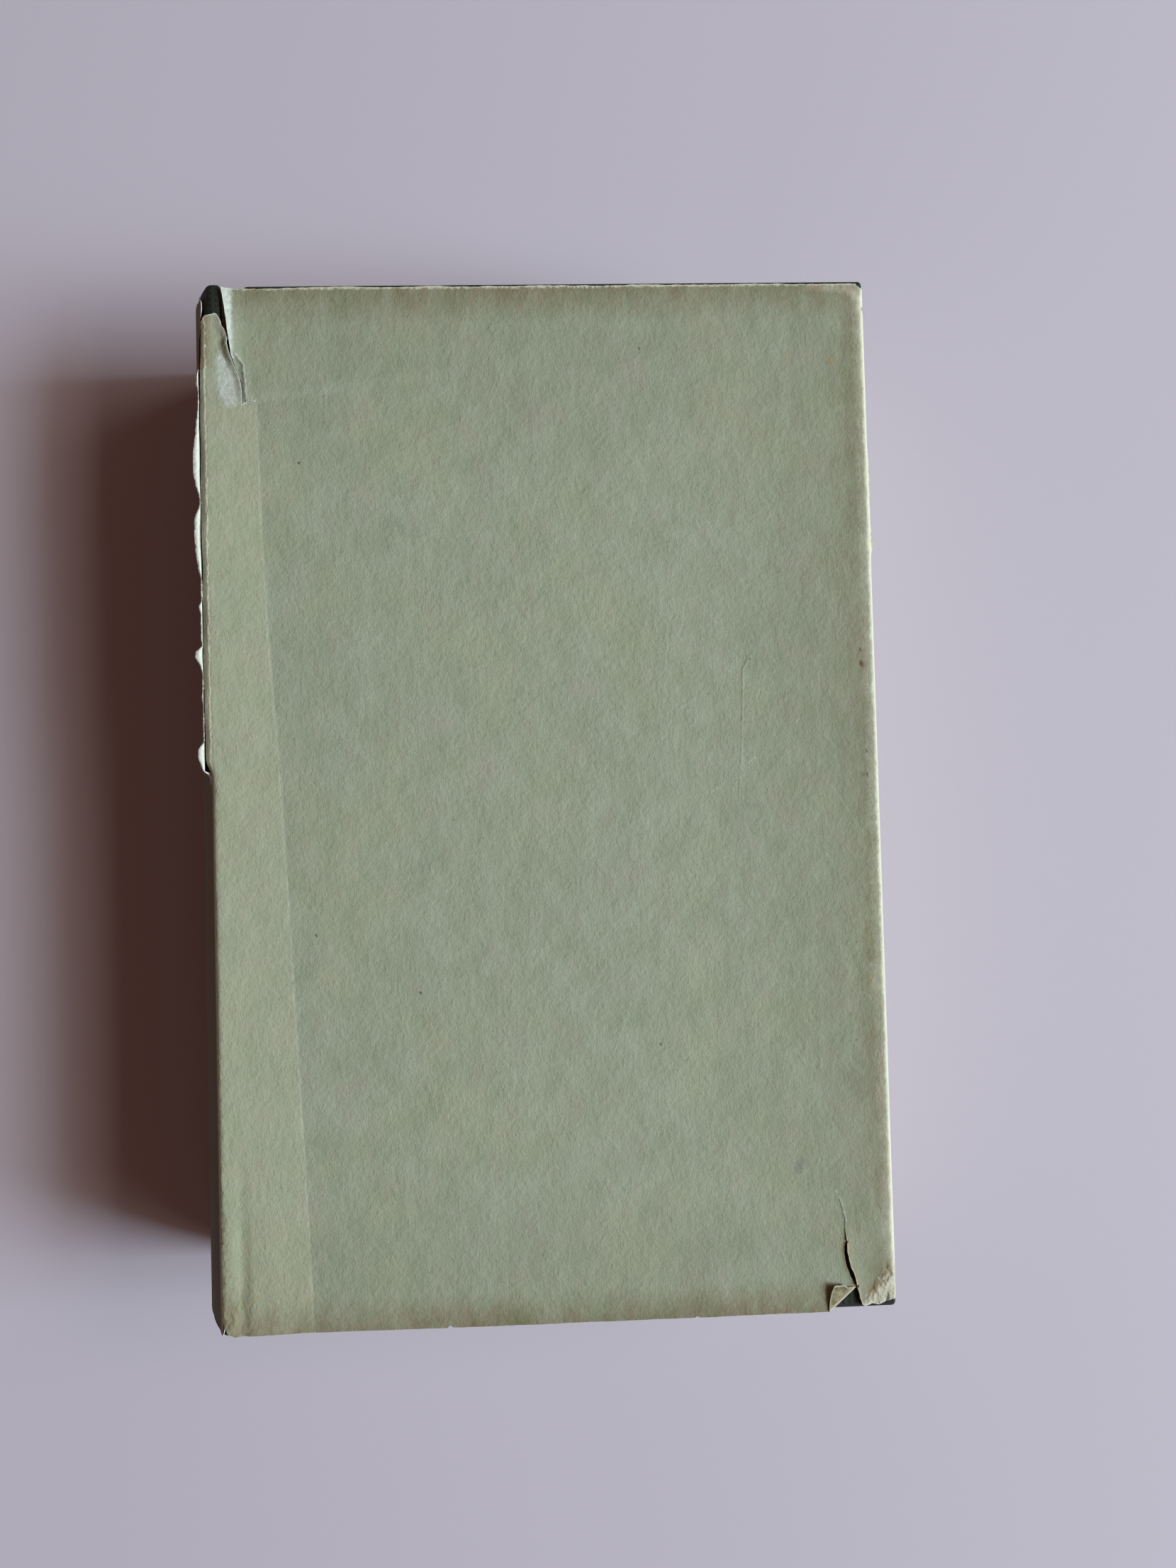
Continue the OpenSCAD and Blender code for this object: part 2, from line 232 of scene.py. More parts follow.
def makeSheet(name, points, faces, thickness, materials, values=None):
    # A closed sheet: the given outer face, an inner face under it and a rim round every edge.
    # The materials are those of the outer face, the inner face and the rim.
    faces = np.asarray(faces, int)
    inner = points - vertexNormals(points, faces) * thickness
    count = len(points)
    sides = np.concatenate([faces[:, [i, (i + 1) % faces.shape[1]]] for i in range(faces.shape[1])])
    twins = {(b, a) for a, b in sides.tolist()}
    rim = np.array([s for s in sides.tolist() if tuple(s) not in twins])
    rimFaces = np.column_stack([rim[:, 1], rim[:, 0], rim[:, 0] + count, rim[:, 1] + count])
    allFaces = faces.tolist() + (faces[:, ::-1] + count).tolist() + rimFaces.tolist()
    kinds = [0] * len(faces) + [1] * len(faces) + [2] * len(rimFaces)
    doubled = {k: np.concatenate([v, v]) for k, v in (values or {}).items()}
    return makeMesh(name, np.concatenate([points, inner]), allFaces, materials, kinds, doubled)


def smoothStep(t):
    t = np.clip(t, 0, 1)
    return t * t * (3 - 2 * t)


def layPath(points, soft, uStart=0.0, step=0.1):
    # A cross-section path through points (x, z), its corners rounded by sliding a window of
    # the length soft along it. u is the length along the path, from uStart.
    points = np.asarray(points, float)
    lengths = np.concatenate([[0], np.cumsum(np.linalg.norm(np.diff(points, axis=0), axis=1))])
    count = int(lengths[-1] / step) + 1
    u = np.linspace(0, lengths[-1], count)
    window = max(1, int(soft / 2 / (u[1] - u[0])))
    out = []
    for axis in (0, 1):
        line = np.interp(u, lengths, points[:, axis])
        for _ in range(2):
            padded = np.concatenate([2 * line[0] - line[window:0:-1], line,
                                     2 * line[-1] - line[-2:-window - 2:-1]])
            line = np.convolve(padded, np.ones(2 * window + 1) / (2 * window + 1), "valid")
        out.append(line)
    heading = np.unwrap(np.arctan2(np.gradient(out[1]), np.gradient(out[0])))
    return {"u": u + uStart, "x": out[0], "z": out[1], "heading": heading}


def onPath(path, u, what):
    return np.interp(u, path["u"], path[what])


def arcPoints(end, half, crown, centreZ, sign, upTo=1.0):
    # Points of a round of the spine from its crown to a share of the way to x = end
    r = ((end - crown) ** 2 + half ** 2) / (2 * (end - crown))
    reach = math.asin(half / r) * upTo
    return [(crown + r - r * math.cos(a), centreZ + sign * r * math.sin(a))
            for a in np.linspace(0, reach, 24)]


def evenly(line, step):
    # Puts points along a line of given points, no further apart than step
    line = np.asarray(line, float)
    out = [line[:1]]
    for a, b in zip(line[:-1], line[1:]):
        count = max(1, math.ceil(np.linalg.norm(b - a) / step))
        out.append(a + (b - a) * np.linspace(0, 1, count + 1)[1:, None])
    return np.concatenate(out)


def tornLine(line, step, rough, seed):
    # The same for a torn edge: small random bays and fibres, none at its ends
    rng = np.random.default_rng(seed)
    line = evenly(line, step)
    along = np.gradient(line, axis=0)
    side = np.column_stack([-along[:, 1], along[:, 0]])
    side /= np.maximum(np.linalg.norm(side, axis=1, keepdims=True), 1e-9)
    wander = np.zeros(len(line))
    for wave, share in ((7, 0.4), (2.6, 0.3), (0.9, 0.3)):
        knots = rng.uniform(-1, 1, int(len(line) * step / wave) + 3)
        wander += share * np.interp(np.arange(len(line)) * step / wave, np.arange(len(knots)), knots)
    wander[0] = wander[-1] = 0
    return line + side * (wander * rough)[:, None]


def distanceTo(points, line):
    best = np.full(len(points), 1e9)
    for a, b in zip(line[:-1], line[1:]):
        run = b - a
        t = np.clip(((points - a) @ run) / max(run @ run, 1e-12), 0, 1)
        best = np.minimum(best, np.hypot(*(points - a - t[:, None] * run).T))
    return best


def insideOf(points, outline):
    inside = np.zeros(len(points), bool)
    x, y = points.T
    for (x0, y0), (x1, y1) in zip(outline, np.roll(outline, -1, axis=0)):
        if y0 != y1:
            inside ^= ((y0 > y) != (y1 > y)) & (x < x0 + (y - y0) * (x1 - x0) / (y1 - y0))
    return inside


# Camera, floor and light

def makeCamera():
    # The photograph is 1659 x 2212. The lens is in its pixels; the place is in millimetres.
    view = {"size": (1659, 2212), "focal": 1662, "place": (1.45, -5.45, 300.5),
            "turns": (-1.77, -2.31, -1.44)}
    turnX, turnY, turnZ = (math.radians(t) for t in view["turns"])
    turned = (Matrix.Rotation(turnZ, 3, "Z") @ Matrix.Rotation(turnY, 3, "Y")
              @ Matrix.Rotation(turnX, 3, "X") @ Matrix.Diagonal((1, -1, -1)))
    right, down, forward = (Vector(row) for row in turned)
    camera = bpy.data.objects.new("viewCamera", bpy.data.cameras.new("viewCamera"))
    camera.data.sensor_fit = "VERTICAL"
    camera.data.sensor_height = 36
    camera.data.lens = 36 * view["focal"] / view["size"][1]
    camera.data.clip_start = 0.01
    placed = Matrix((right, -down, -forward)).transposed().to_4x4()
    placed.translation = Vector(view["place"]) * mm
    camera.matrix_world = placed
    bpy.context.scene.collection.objects.link(camera)
    bpy.context.scene.camera = camera


def makeFloor():
    floor = {"size": 4000, "drop": 0.06, "colour": "b9b3be"}
    material, tree = newMaterial("paintedTable")  # a smooth matt painted top: even and pale
    finishMaterial(tree, {"Base Color": hexColour(floor["colour"]), "Roughness": 0.85})
    half = floor["size"] / 2
    points = [(-half, -half, -floor["drop"]), (half, -half, -floor["drop"]),
              (half, half, -floor["drop"]), (-half, half, -floor["drop"])]
    makeMesh("floor", points, [(0, 1, 2, 3)], [material])


def makeLight():
    # A wide cool window low on the right, the warmer bright wall above it, and a weak warm room
    lights = {
        "window": {"azimuth": -9, "elevation": 32, "distance": 3300, "wide": 1520, "high": 1580, "watts": 155,
                   "colour": "dbf1ff"},
        "wall": {"azimuth": -3, "elevation": 45, "distance": 3300, "wide": 3000, "high": 1045, "watts": 52,
                 "colour": "ffefe2"},
    }
    room = {"colour": "ffbea5", "strength": 0.125}
    for name, light in lights.items():
        azimuth, elevation = math.radians(light["azimuth"]), math.radians(light["elevation"])
        toward = Vector((math.cos(elevation) * math.cos(azimuth), math.cos(elevation) * math.sin(azimuth),
                         math.sin(elevation)))
        data = bpy.data.lights.new(name, "AREA")
        data.shape = "RECTANGLE"
        data.size = light["wide"] * mm
        data.size_y = light["high"] * mm
        data.energy = light["watts"]
        data.color = hexColour(light["colour"])[:3]
        lamp = bpy.data.objects.new(name, data)
        lamp.location = toward * light["distance"] * mm
        lamp.rotation_euler = (-toward).to_track_quat("-Z", "Y").to_euler()
        bpy.context.scene.collection.objects.link(lamp)
    world = bpy.data.worlds.new("room")
    world.use_nodes = True
    background = world.node_tree.nodes["Background"]
    background.inputs["Color"].default_value = hexColour(room["colour"])
    background.inputs["Strength"].default_value = room["strength"]
    bpy.context.scene.world = world


makeCamera()
makeFloor()
makeLight()
bpy.context.scene.view_settings.view_transform = "Standard"
print("camera, floor and light made")


# Materials

def nearLine(tree, place, start, end):
    # The distance in millimetres from a straight mark on the flat front of the sheet
    run = Vector((end[0] - start[0], end[1] - start[1], 0))
    off = vectorCalc(tree, "SUBTRACT", place, (start[0], start[1], 0))
    along = vectorCalc(tree, "DOT_PRODUCT", off, run / max(run.length_squared, 1e-6))
    share = calc(tree, "MAXIMUM", calc(tree, "MINIMUM", along, 1.0), 0.0)
    foot = addNode(tree, "VectorMath", {"operation": "SCALE", 0: run, "Scale": share})
    return addNode(tree, "VectorMath", {"operation": "LENGTH", 0: vectorCalc(tree, "SUBTRACT", off, foot)})


def strokes(tree, place, lines, ragged=None):
    # One amount for a list of straight marks: (start, end, half width, amount)
    out = []
    for start, end, width, amount in lines:
        near = nearLine(tree, place, start, end)
        if ragged:
            near = plus(tree, near, times(tree, ragged, width * 0.6))
        out.append(spread(tree, near, width, width * 0.2, 0, amount))
    return most(tree, out)


def clouded(paper):
    # Blotches of darker, paler, greyer and warmer fibre, and a fine tooth
    tree, look = paper["tree"], paper["look"]
    colour = blendColour(tree, spread(tree, paper["blotch"], 0.36, 0.64), hexColour(look["green"]),
                         hexColour(look["pale"]))
    hue = spread(tree, paper["hue"], 0.44, 0.66, 0, 0.55)
    colour = blendColour(tree, hue, colour, hexColour(look["grey"]))
    warmth = noiseAt(tree, paper["place"], 1 / look["warmMm"], (1, 0.8, 1), 5, 0.68, 61)
    colour = blendColour(tree, spread(tree, warmth, 0.48, 0.66, 0, 0.28), colour, hexColour(look["warm"]))
    shade = plus(tree, times(tree, paper["raggedTooth"], 0.03), times(tree, paper["raggedFibre"], 0.025), 1.0)
    return addNode(tree, "HueSaturation", {"Value": shade, "Color": colour})


def shadeAndBrownSpine(paper, colour):
    # The spine side is painted browner and darker from the split, and below it from the fold, and darker
    # again towards the tail: partly browning by light, partly painted shade of the side that faces away from
    # the lamp
    tree, look, axes = paper["tree"], paper["look"], paper["axes"]
    across = calc(tree, "SUBTRACT", axes["X"], spread(tree, axes["Y"], 4.5, 7, 0.7, 0))
    spineBrownAndShade = times(tree, spread(tree, across, -69.35, -69.8), spread(tree, axes["Y"], 104, 102, 0.5, 0.95))
    brown = blendColour(tree, spread(tree, axes["Y"], -55, -100), hexColour(look["spineBrownAndShade"]),
                        hexColour(look["spineTailDarker"]))
    return blendColour(tree, spineBrownAndShade, colour, brown)


def edgeSoil(paper, colour):
    # Soiling: wide and faint, then narrow and dark, from the head, the tail and the fore-edge fold
    tree, look, axes = paper["tree"], paper["look"], paper["axes"]
    cloudy = noiseAt(tree, paper["place"], 1 / 6, (1.6, 0.7, 1), 5, 0.65, 12)
    cloudiness = spread(tree, cloudy, 0.3, 0.62, 0.4, 1.1)
    nearTail = calc(tree, "SUBTRACT", axes["Y"], book["tail"])
    nearFold = calc(tree, "ABSOLUTE", calc(tree, "SUBTRACT", axes["X"], book["foreX"] - 0.3))
    bands, wides = [], []
    for near, wide, faint, narrow, dark in (
            (paper["nearHead"], 45, 0.32, 8, 0.75),
            (nearTail, 32, 0.32, 7, 0.85),
            (nearFold, 38, 0.55, 9, 0.5)):
        wides.append(spread(tree, near, wide, 0, 0, faint))
        moved = plus(tree, near, times(tree, paper["raggedTooth"], 1.2))
        bands.append(spread(tree, moved, narrow, -1, 0, dark))
    colour = blendColour(tree, times(tree, most(tree, wides), cloudiness), colour, hexColour(look["dull"]))
    soil = painted(tree, "soil")
    spots = plus(tree, times(tree, soil, spread(tree, cloudy, 0.3, 0.6, 0.75, 1.15)),
                 times(tree, soil, paper["raggedTooth"], 0.3))
    return colour, most(tree, [times(tree, most(tree, bands), cloudiness), spots])


def handMarks(paper, marks, colour, dirt):
    # The front's own stains, spots, scratches and dents, and its old crease
    tree, look, place = paper["tree"], paper["look"], paper["place"]
    ragged, axes = paper["raggedTooth"], paper["axes"]
    dirt = most(tree, [dirt, strokes(tree, place, marks["stains"], ragged)])
    for kind, tint in look["marks"].items():
        colour = blendColour(tree, strokes(tree, place, marks[kind], ragged), colour, hexColour(tint))
    # the paper left of the old crease was long folded under and kept its colour, and it also carries a
    # painted highlight where it slopes up towards the lamp
    crease = plus(tree, painted(tree, "crease"), times(tree, ragged, 0.12))
    below = spread(tree, axes["Y"], 86.5, 84)
    keptAndLit = times(tree, spread(tree, crease, 0.3, -0.3, 0, 0.2), below)
    colour = blendColour(tree, keptAndLit, colour, hexColour(look["keptAndLit"]))
    rubbed = times(tree, spread(tree, calc(tree, "ABSOLUTE", crease), 0.45, 0.05, 0, 0.22), below)
    colour = blendColour(tree, rubbed, colour, hexColour(look["crease"]))
    dots = calc(tree, "SINE", times(tree, axes["X"], 2 * math.pi / look["dotMm"]))
    dots = spread(tree, dots, -0.3, 0.3, 0.3, 1)
    raised = most(tree, [strokes(tree, place, marks["raised"]),
                         times(tree, strokes(tree, place, marks["dotted"]), dots)])
    return colour, dirt, plus(tree, paper["blotch"], times(tree, raised, 0.11))


def rubbedFolds(paper, rubs, colour):
    # Cream where the dye has gone: (x of the fold, half width, amount, how ragged)
    tree = paper["tree"]
    wander = noiseAt(tree, paper["place"], 1 / 5, (0.6, 1, 1), 6, 0.75, 21)
    out = []
    for at, width, amount, ragged in rubs:
        moved = plus(tree, paper["axes"]["X"], spread(tree, wander, 0.25, 0.75, -ragged, ragged),
                     times(tree, paper["raggedTooth"], 0.6 * ragged))
        off = calc(tree, "ABSOLUTE", calc(tree, "SUBTRACT", moved, at))
        out.append(spread(tree, off, width, width * 0.3, 0, amount))
    return blendColour(tree, most(tree, out), colour, hexColour(paper["look"]["rub"]))


def bareCore(paper, colour):
    # The core: thin and greyish where the face is only half gone, white and fibrous at a torn edge
    tree, look, soil = paper["tree"], paper["look"], painted(paper["tree"], "soil")
    border = plus(tree, painted(tree, "core"), times(tree, paper["raggedFibre"], 0.1),
                  times(tree, paper["raggedTooth"], 0.15))
    under = blendColour(tree, spread(tree, soil, 0.1, 0.45), hexColour(look["under"]),
                        hexColour(look["cream"]))
    colour = blendColour(tree, spread(tree, border, 0.2, 0.55, 0, 0.85), colour, under)
    colour = blendColour(tree, spread(tree, border, 0.5, 0.95), colour, hexColour(look["core"]))
    grime = times(tree, soil, spread(tree, paper["tooth"], 0.4, 0.62, 0.15, 1.25))
    return blendColour(tree, grime, colour, hexColour(look["grime"]))


def jacketPaper(sheet):
    # Pale green dyed wrapping paper, uncalendered: faint cloudy blotches of the dyed fibre, a matt
    # face with a fine tooth, and brown-olive soiling at the edges. Where the face is gone the
    # whiter core shows.
    # the spine's two browns below carry painted shade as well as browning by light
    look = {"green": "8b967e", "pale": "98a08b", "grey": "9a9887", "warm": "9ca07f", "olive": "69633f",
            "dull": "787862", "brown": "77654a", "spineBrownAndShade": "5c4c37", "spineTailDarker": "3a3123", "keptAndLit": "b4b494",
            "crease": "c9cfbc", "core": "d3d8cc", "under": "b0b7ad", "cream": "c3b99c", "rub": "d0d1ba",
            "grime": "857658", "fleck": "5f5a48",
            "marks": {"greys": "6f6e68", "foxed": "9c8353", "browns": "4f3726", "specks": "3d382e",
                      "pale": "c3cab9", "rubbed": "cfcab4"},
            "blotchMm": 8.5, "hueMm": 7, "warmMm": 16, "toothMm": 0.9, "fibreMm": 0.45, "fleckMm": 0.8,
            "wrinkleMm": 3.0, "dotMm": 0.9}
    material, tree = newMaterial("dyedPaper_" + sheet["name"])
    place = paperPlace(tree)
    tooth = noiseAt(tree, place, 1 / look["toothMm"], (1, 0.75, 1), 5, 0.72, 7)
    fibre = noiseAt(tree, place, 1 / look["fibreMm"], (1, 0.4, 1), 3, 0.7, 3)
    axes = addNode(tree, "SeparateXYZ", {"Vector": place}).node.outputs
    paper = {"tree": tree, "look": look, "place": place, "axes": axes, "tooth": tooth,
             "blotch": noiseAt(tree, place, 1 / look["blotchMm"], (1, 0.85, 1), 7, 0.7),
             "hue": noiseAt(tree, place, 1 / look["hueMm"], (1.1, 0.85, 1), 6, 0.68, 31),
             "raggedFibre": spread(tree, fibre, 0.25, 0.75, -1, 1),
             "raggedTooth": spread(tree, tooth, 0.28, 0.72, -1, 1),
             "nearHead": calc(tree, "SUBTRACT", book["head"], axes["Y"])}
    colour, dirt = edgeSoil(paper, shadeAndBrownSpine(paper, clouded(paper)))
    relief = paper["blotch"]
    if sheet["marks"]:
        colour, dirt, relief = handMarks(paper, sheet["marks"], colour, dirt)
    dirtColour = blendColour(tree, spread(tree, paper["hue"], 0.4, 0.6), hexColour(look["olive"]),
                             hexColour(look["brown"]))
    colour = blendColour(tree, dirt, colour, dirtColour)
    ends = plus(tree, paper["nearHead"], times(tree, paper["raggedTooth"], 0.5))
    colour = blendColour(tree, spread(tree, ends, 0.5, 0.1, 0, 0.7), colour, hexColour(look["rub"]))
    fleck = noiseAt(tree, place, 1 / look["fleckMm"], (1, 0.8, 1), 2, 0.5, 52)
    colour = blendColour(tree, spread(tree, fleck, 0.73, 0.77, 0, 0.4), colour, hexColour(look["fleck"]))
    colour = bareCore(paper, rubbedFolds(paper, sheet["rubs"], colour))
    wrinkled = noiseAt(tree, place, 1 / look["wrinkleMm"], (1, 0.8, 1), 2, 0.5, 44)
    wrinkles = calc(tree, "ABSOLUTE", calc(tree, "SUBTRACT", wrinkled, 0.5))
    wrinkles = times(tree, wrinkles, painted(tree, "crumple"))
    finishMaterial(tree, {"Base Color": colour, "Roughness": 0.82, "Specular IOR Level": 0.3, "IOR": 1.5},
                   [(relief, 0.55), (wrinkles, 2.6), (tooth, 0.13), (fibre, 0.05)])
    return material


def plainPaper(name, colour, second, fibreMm):
    # Uncoated wove paper: a soft cloudy tone and short fibres under raking light
    material, tree = newMaterial(name)
    place = paperPlace(tree)
    cloud = noiseAt(tree, place, 1 / 14, (1, 0.8, 1), 4, 0.6, 5)
    fibre = noiseAt(tree, place, 1 / fibreMm, (1, 0.4, 1), 4, 0.7, 9)
    amount = plus(tree, spread(tree, cloud, 0.3, 0.7, 0, 0.7), spread(tree, fibre, 0.3, 0.7, 0, 0.3))
    base = blendColour(tree, amount, hexColour(colour), hexColour(second))
    finishMaterial(tree, {"Base Color": base, "Roughness": 0.85, "Specular IOR Level": 0.3},
                   [(cloud, 0.2), (fibre, 0.03)])
    return material


def bookCloth():
    # Plain-woven cotton, dyed dark green and filled with starch: fine threads with a dull sheen
    look = {"dark": "161b14", "green": "232b20", "worn": "454c3d", "threadMm": 0.42}
    material, tree = newMaterial("starchedBookCloth")
    place = paperPlace(tree)
    waves = []
    for stretch in ((1, 0, 0), (0, 1, 0)):
        wave = addNode(tree, "TexWave", {
            "wave_type": "BANDS", "bands_direction": "DIAGONAL", "Distortion": 0.6, "Detail": 1.5,
            "Vector": vectorCalc(tree, "MULTIPLY", place, stretch),
            "Scale": 0.1 / look["threadMm"] * math.pi / 1.57})
        waves.append(wave.node.outputs["Fac"])
    weave = most(tree, waves)
    slub = noiseAt(tree, place, 1 / 1.4, (1, 0.3, 1), 4, 0.7, 4)
    worn = noiseAt(tree, place, 1 / 12, (1, 1, 1), 5, 0.65, 14)
    colour = blendColour(tree, times(tree, weave, spread(tree, slub, 0.3, 0.7, 0.4, 1)),
                         hexColour(look["dark"]), hexColour(look["green"]))
    colour = blendColour(tree, spread(tree, worn, 0.55, 0.8, 0, 0.25), colour, hexColour(look["worn"]))
    finishMaterial(tree, {"Base Color": colour, "Roughness": 0.75, "Specular IOR Level": 0.25,
                          "Sheen Weight": 0.06, "Sheen Roughness": 0.5}, [(weave, 0.09), (slub, 0.05)])
    return material


def leafEdges():
    # Trimmed machine-made book paper: the cut ends of the leaves, toned brown by light and dust,
    # in fine lines along the leaves. Broad faces are plain cream paper.
    look = {"cream": "d9ceb2", "toned": "b59f76", "dust": "8d7a5c", "lineMm": 0.3}
    material, tree = newMaterial("trimmedLeaves")
    place = objectPlace(tree)
    lines = noiseAt(tree, place, 1 / look["lineMm"], (0.03, 0.03, 1), 3, 0.7, 2)
    broad = noiseAt(tree, place, 1 / 3.5, (0.05, 0.05, 1), 3, 0.6, 6)
    stain = noiseAt(tree, place, 1 / 16, (1, 1, 1), 5, 0.6, 8)
    colour = blendColour(tree, spread(tree, lines, 0.32, 0.68), hexColour(look["toned"]),
                         hexColour(look["cream"]))
    colour = blendColour(tree, spread(tree, broad, 0.45, 0.7, 0, 0.45), colour, hexColour(look["toned"]))
    colour = blendColour(tree, spread(tree, stain, 0.55, 0.75, 0, 0.35), colour, hexColour(look["dust"]))
    finishMaterial(tree, {"Base Color": colour, "Roughness": 0.85, "Specular IOR Level": 0.3}, [(lines, 0.1)])
    return material


def solidMaterial(name, first, second, grainMm, stretch, depth, rough=0.85):
    # A rigid piece's plain fibrous finish
    material, tree = newMaterial(name)
    grain = noiseAt(tree, objectPlace(tree), 1 / grainMm, stretch, 5, 0.65, 3)
    colour = blendColour(tree, spread(tree, grain, 0.3, 0.7), hexColour(first), hexColour(second))
    finishMaterial(tree, {"Base Color": colour, "Roughness": rough}, [(grain, depth)])
    return material


def gauze():
    # Open-woven starched cotton: threads about a millimetre apart
    material, tree = newMaterial("starchedGauze")
    place = paperPlace(tree)
    axes = addNode(tree, "SeparateXYZ", {"Vector": place}).node.outputs
    weave = most(tree, [calc(tree, "SINE", times(tree, axes[k], 2 * math.pi / 1.1)) for k in ("X", "Y")])
    colour = blendColour(tree, spread(tree, weave, 0.1, 0.9), hexColour("9c9380"), hexColour("d8d1be"))
    finishMaterial(tree, {"Base Color": colour, "Roughness": 0.9}, [(weave, 0.08)])
    return material


def bandSilk():
    # Embroidered silk over a cord: two colours in turns along the band
    material, tree = newMaterial("silkBand")
    place = objectPlace(tree)
    height = addNode(tree, "SeparateXYZ", {"Vector": place}).node.outputs["Z"]
    turns = calc(tree, "SINE", times(tree, height, 2 * math.pi / 3.2))
    fine = noiseAt(tree, place, 1 / 0.3, (1, 0.2, 1), 3, 0.6, 5)
    colour = blendColour(tree, spread(tree, turns, -0.15, 0.15), hexColour("d9cfb4"), hexColour("56664a"))
    colour = blendColour(tree, spread(tree, fine, 0.35, 0.7, 0, 0.4), colour, hexColour("a39a80"))
    finishMaterial(tree, {"Base Color": colour, "Roughness": 0.5, "Sheen Weight": 0.3}, [(fine, 0.05)])
    return material


reversePaper = plainPaper("jacketReverse", "d3cfbd", "c3bea8", 0.7)
tornPaper = plainPaper("tornPaperCore", "d9d9cf", "c8c9bd", 0.5)
endPaper = plainPaper("wovePaper", "ddd3b8", "cfc19c", 0.8)
cloth = bookCloth()
leafPaper = leafEdges()
print("materials made")


# The paper jacket

fold = {
    "ridgeX": -67.6, "ridgeZ": 49.5,   # the front fold, pulled a little proud of the shoulder
    "soft": 1.7,                        # window that rounds the folds
    "flap": 88.0,
    "thick": 0.16,
}
drop = fold["ridgeZ"] - book["top"]
roundR = 7.5
spineEnd = book["crownX"] + roundR

frontCorners = arcPoints(spineEnd, book["midZ"], book["crownX"], book["midZ"], 1, 0.965)
frontCorners += [(fold["ridgeX"], fold["ridgeZ"]), (book["foreX"], fold["ridgeZ"]),
                 (book["foreX"], fold["ridgeZ"] - book["coverT"]),
                 (book["foreX"] - fold["flap"], fold["ridgeZ"] - book["coverT"])]
frontLength = sum(math.dist(a, b) for a, b in zip(frontCorners[:24], frontCorners[1:25]))
frontPath = layPath(frontCorners, fold["soft"], fold["ridgeX"] - frontLength)
backCorners = arcPoints(spineEnd, book["midZ"], book["crownX"], book["midZ"], -1)
backCorners += [(book["foreX"], 0), (book["foreX"], book["coverT"]),
                (book["foreX"] - fold["flap"], book["coverT"])]
backLength = sum(math.dist(a, b) for a, b in zip(backCorners[:23], backCorners[1:24]))
backPath = layPath(backCorners, fold["soft"], spineEnd - backLength)

# Torn and worn outlines on the flat sheet (u, y): u is x on the front panel, and goes on past the
# folds. They are set from the photograph.
tears = {
    # from the head down the panel's white edge, the slit in the groove and the short tear across
    "panelEdge": [(-64.1, 110.35), (-63.8, 108.6), (-63.4, 106.1), (-63.1, 103.8), (-62.8, 100.5),
                  (-62.4, 97.5), (-62.2, 95.6)],
    "slitRight": [(-62.2, 95.6), (-61.7, 94), (-61.1, 92.4), (-60.6, 91.3), (-60.26, 89.8), (-60.1, 88.5),
                  (-60.02, 85.5), (-59.3, 85.75), (-58.8, 86), (-57.5, 86.15)],
    "slitLeft": [(-57.5, 86.15), (-58.8, 85.86), (-59.3, 85.56), (-60.14, 85.25), (-60.22, 88.4),
                 (-60.38, 89.8), (-60.72, 91.4), (-61.25, 92.6), (-61.9, 94.2), (-62.45, 95.7)],
    "tongueTop": [(-62.45, 95.7), (-62.8, 96.8), (-63.1, 98.1), (-63.05, 99.2), (-63.25, 100.4),
                  (-63.6, 101.5), (-64.2, 102.2), (-64.3, 103.1), (-64.7, 103.9), (-65.1, 104.7),
                  (-65.5, 104.9), (-66.5, 104.7), (-67.5, 104.4), (-68.2, 103.9), (-68.6, 103.1)],
    "splitPanel": [(-68.6, 103.1), (-68.7, 96), (-68.9, 94), (-69.0, 92), (-69.05, 86), (-69.15, 78),
                   (-69.3, 70), (-69.3, 64), (-69.2, 57), (-69.1, 51), (-69.25, 44), (-69.3, 31),
                   (-69.15, 22), (-69.15, 10), (-69.05, 7.2), (-69.1, 5.6)],
    "splitSpine": [(-69.1, 5.6), (-69.5, 7.4), (-69.55, 16), (-69.6, 34), (-69.6, 52), (-69.6, 70),
                   (-69.55, 86), (-69.5, 92), (-70.4, 92.9), (-72.8, 93)],
    "spineHead": [(-72.8, 93), (-75.6, 94.5), (-75.9, 98.5), (-75.2, 102), (-73.2, 103.5), (-70.9, 104.3),
                  (-69.4, 105.3), (-68.7, 106.5), (-69.2, 107.9), (-70.5, 109), (-71.4, 109.8), (-73, 109.8),
                  (-74.4, 109.2), (-76.6, book["head"])],
    # the head corner at the fore-edge, worn round
    "headCorner": [(77.2, book["head"]), (76.4, 110), (75.6, 109.5), (74.8, 109.4), (74.1, 109.7),
                   (73.6, 110.1), (73.1, book["head"])],
    # the tail corner: left of the tear, its closed part, the loose strip and the worn corner
    "tearLeft": [(65.95, -106.15), (64.95, -104.2), (64.15, -102), (63.85, -99.8), (63.7, -98),
                 (64.13, -96.2)],
    "crackLeft": [(64.13, -96.2), (63.95, -94.3), (64.03, -91.6), (63.3, -88.4), (62.35, -85.8)],
    "crackRight": [(62.35, -85.8), (63.36, -88.4), (64.08, -91.6), (64.0, -94.3), (64.2, -96.2)],
    "tearRight": [(64.2, -96.2), (64.35, -98.4), (64.8, -101.4), (65.75, -104.3), (66.1, -106.3),
                  (66.5, -107.8), (67.1, -109.8)],
    "tailCorner": [(67.1, -109.8), (67.8, -110.15), (69.4, -109.9), (70.8, -110.1), (72, -109.8),
                   (73.2, -109.6), (74.3, -109.3), (75.2, -108.8), (76.2, -108.3), (77, -108.9),
                   (77.9, book["tail"])],
}
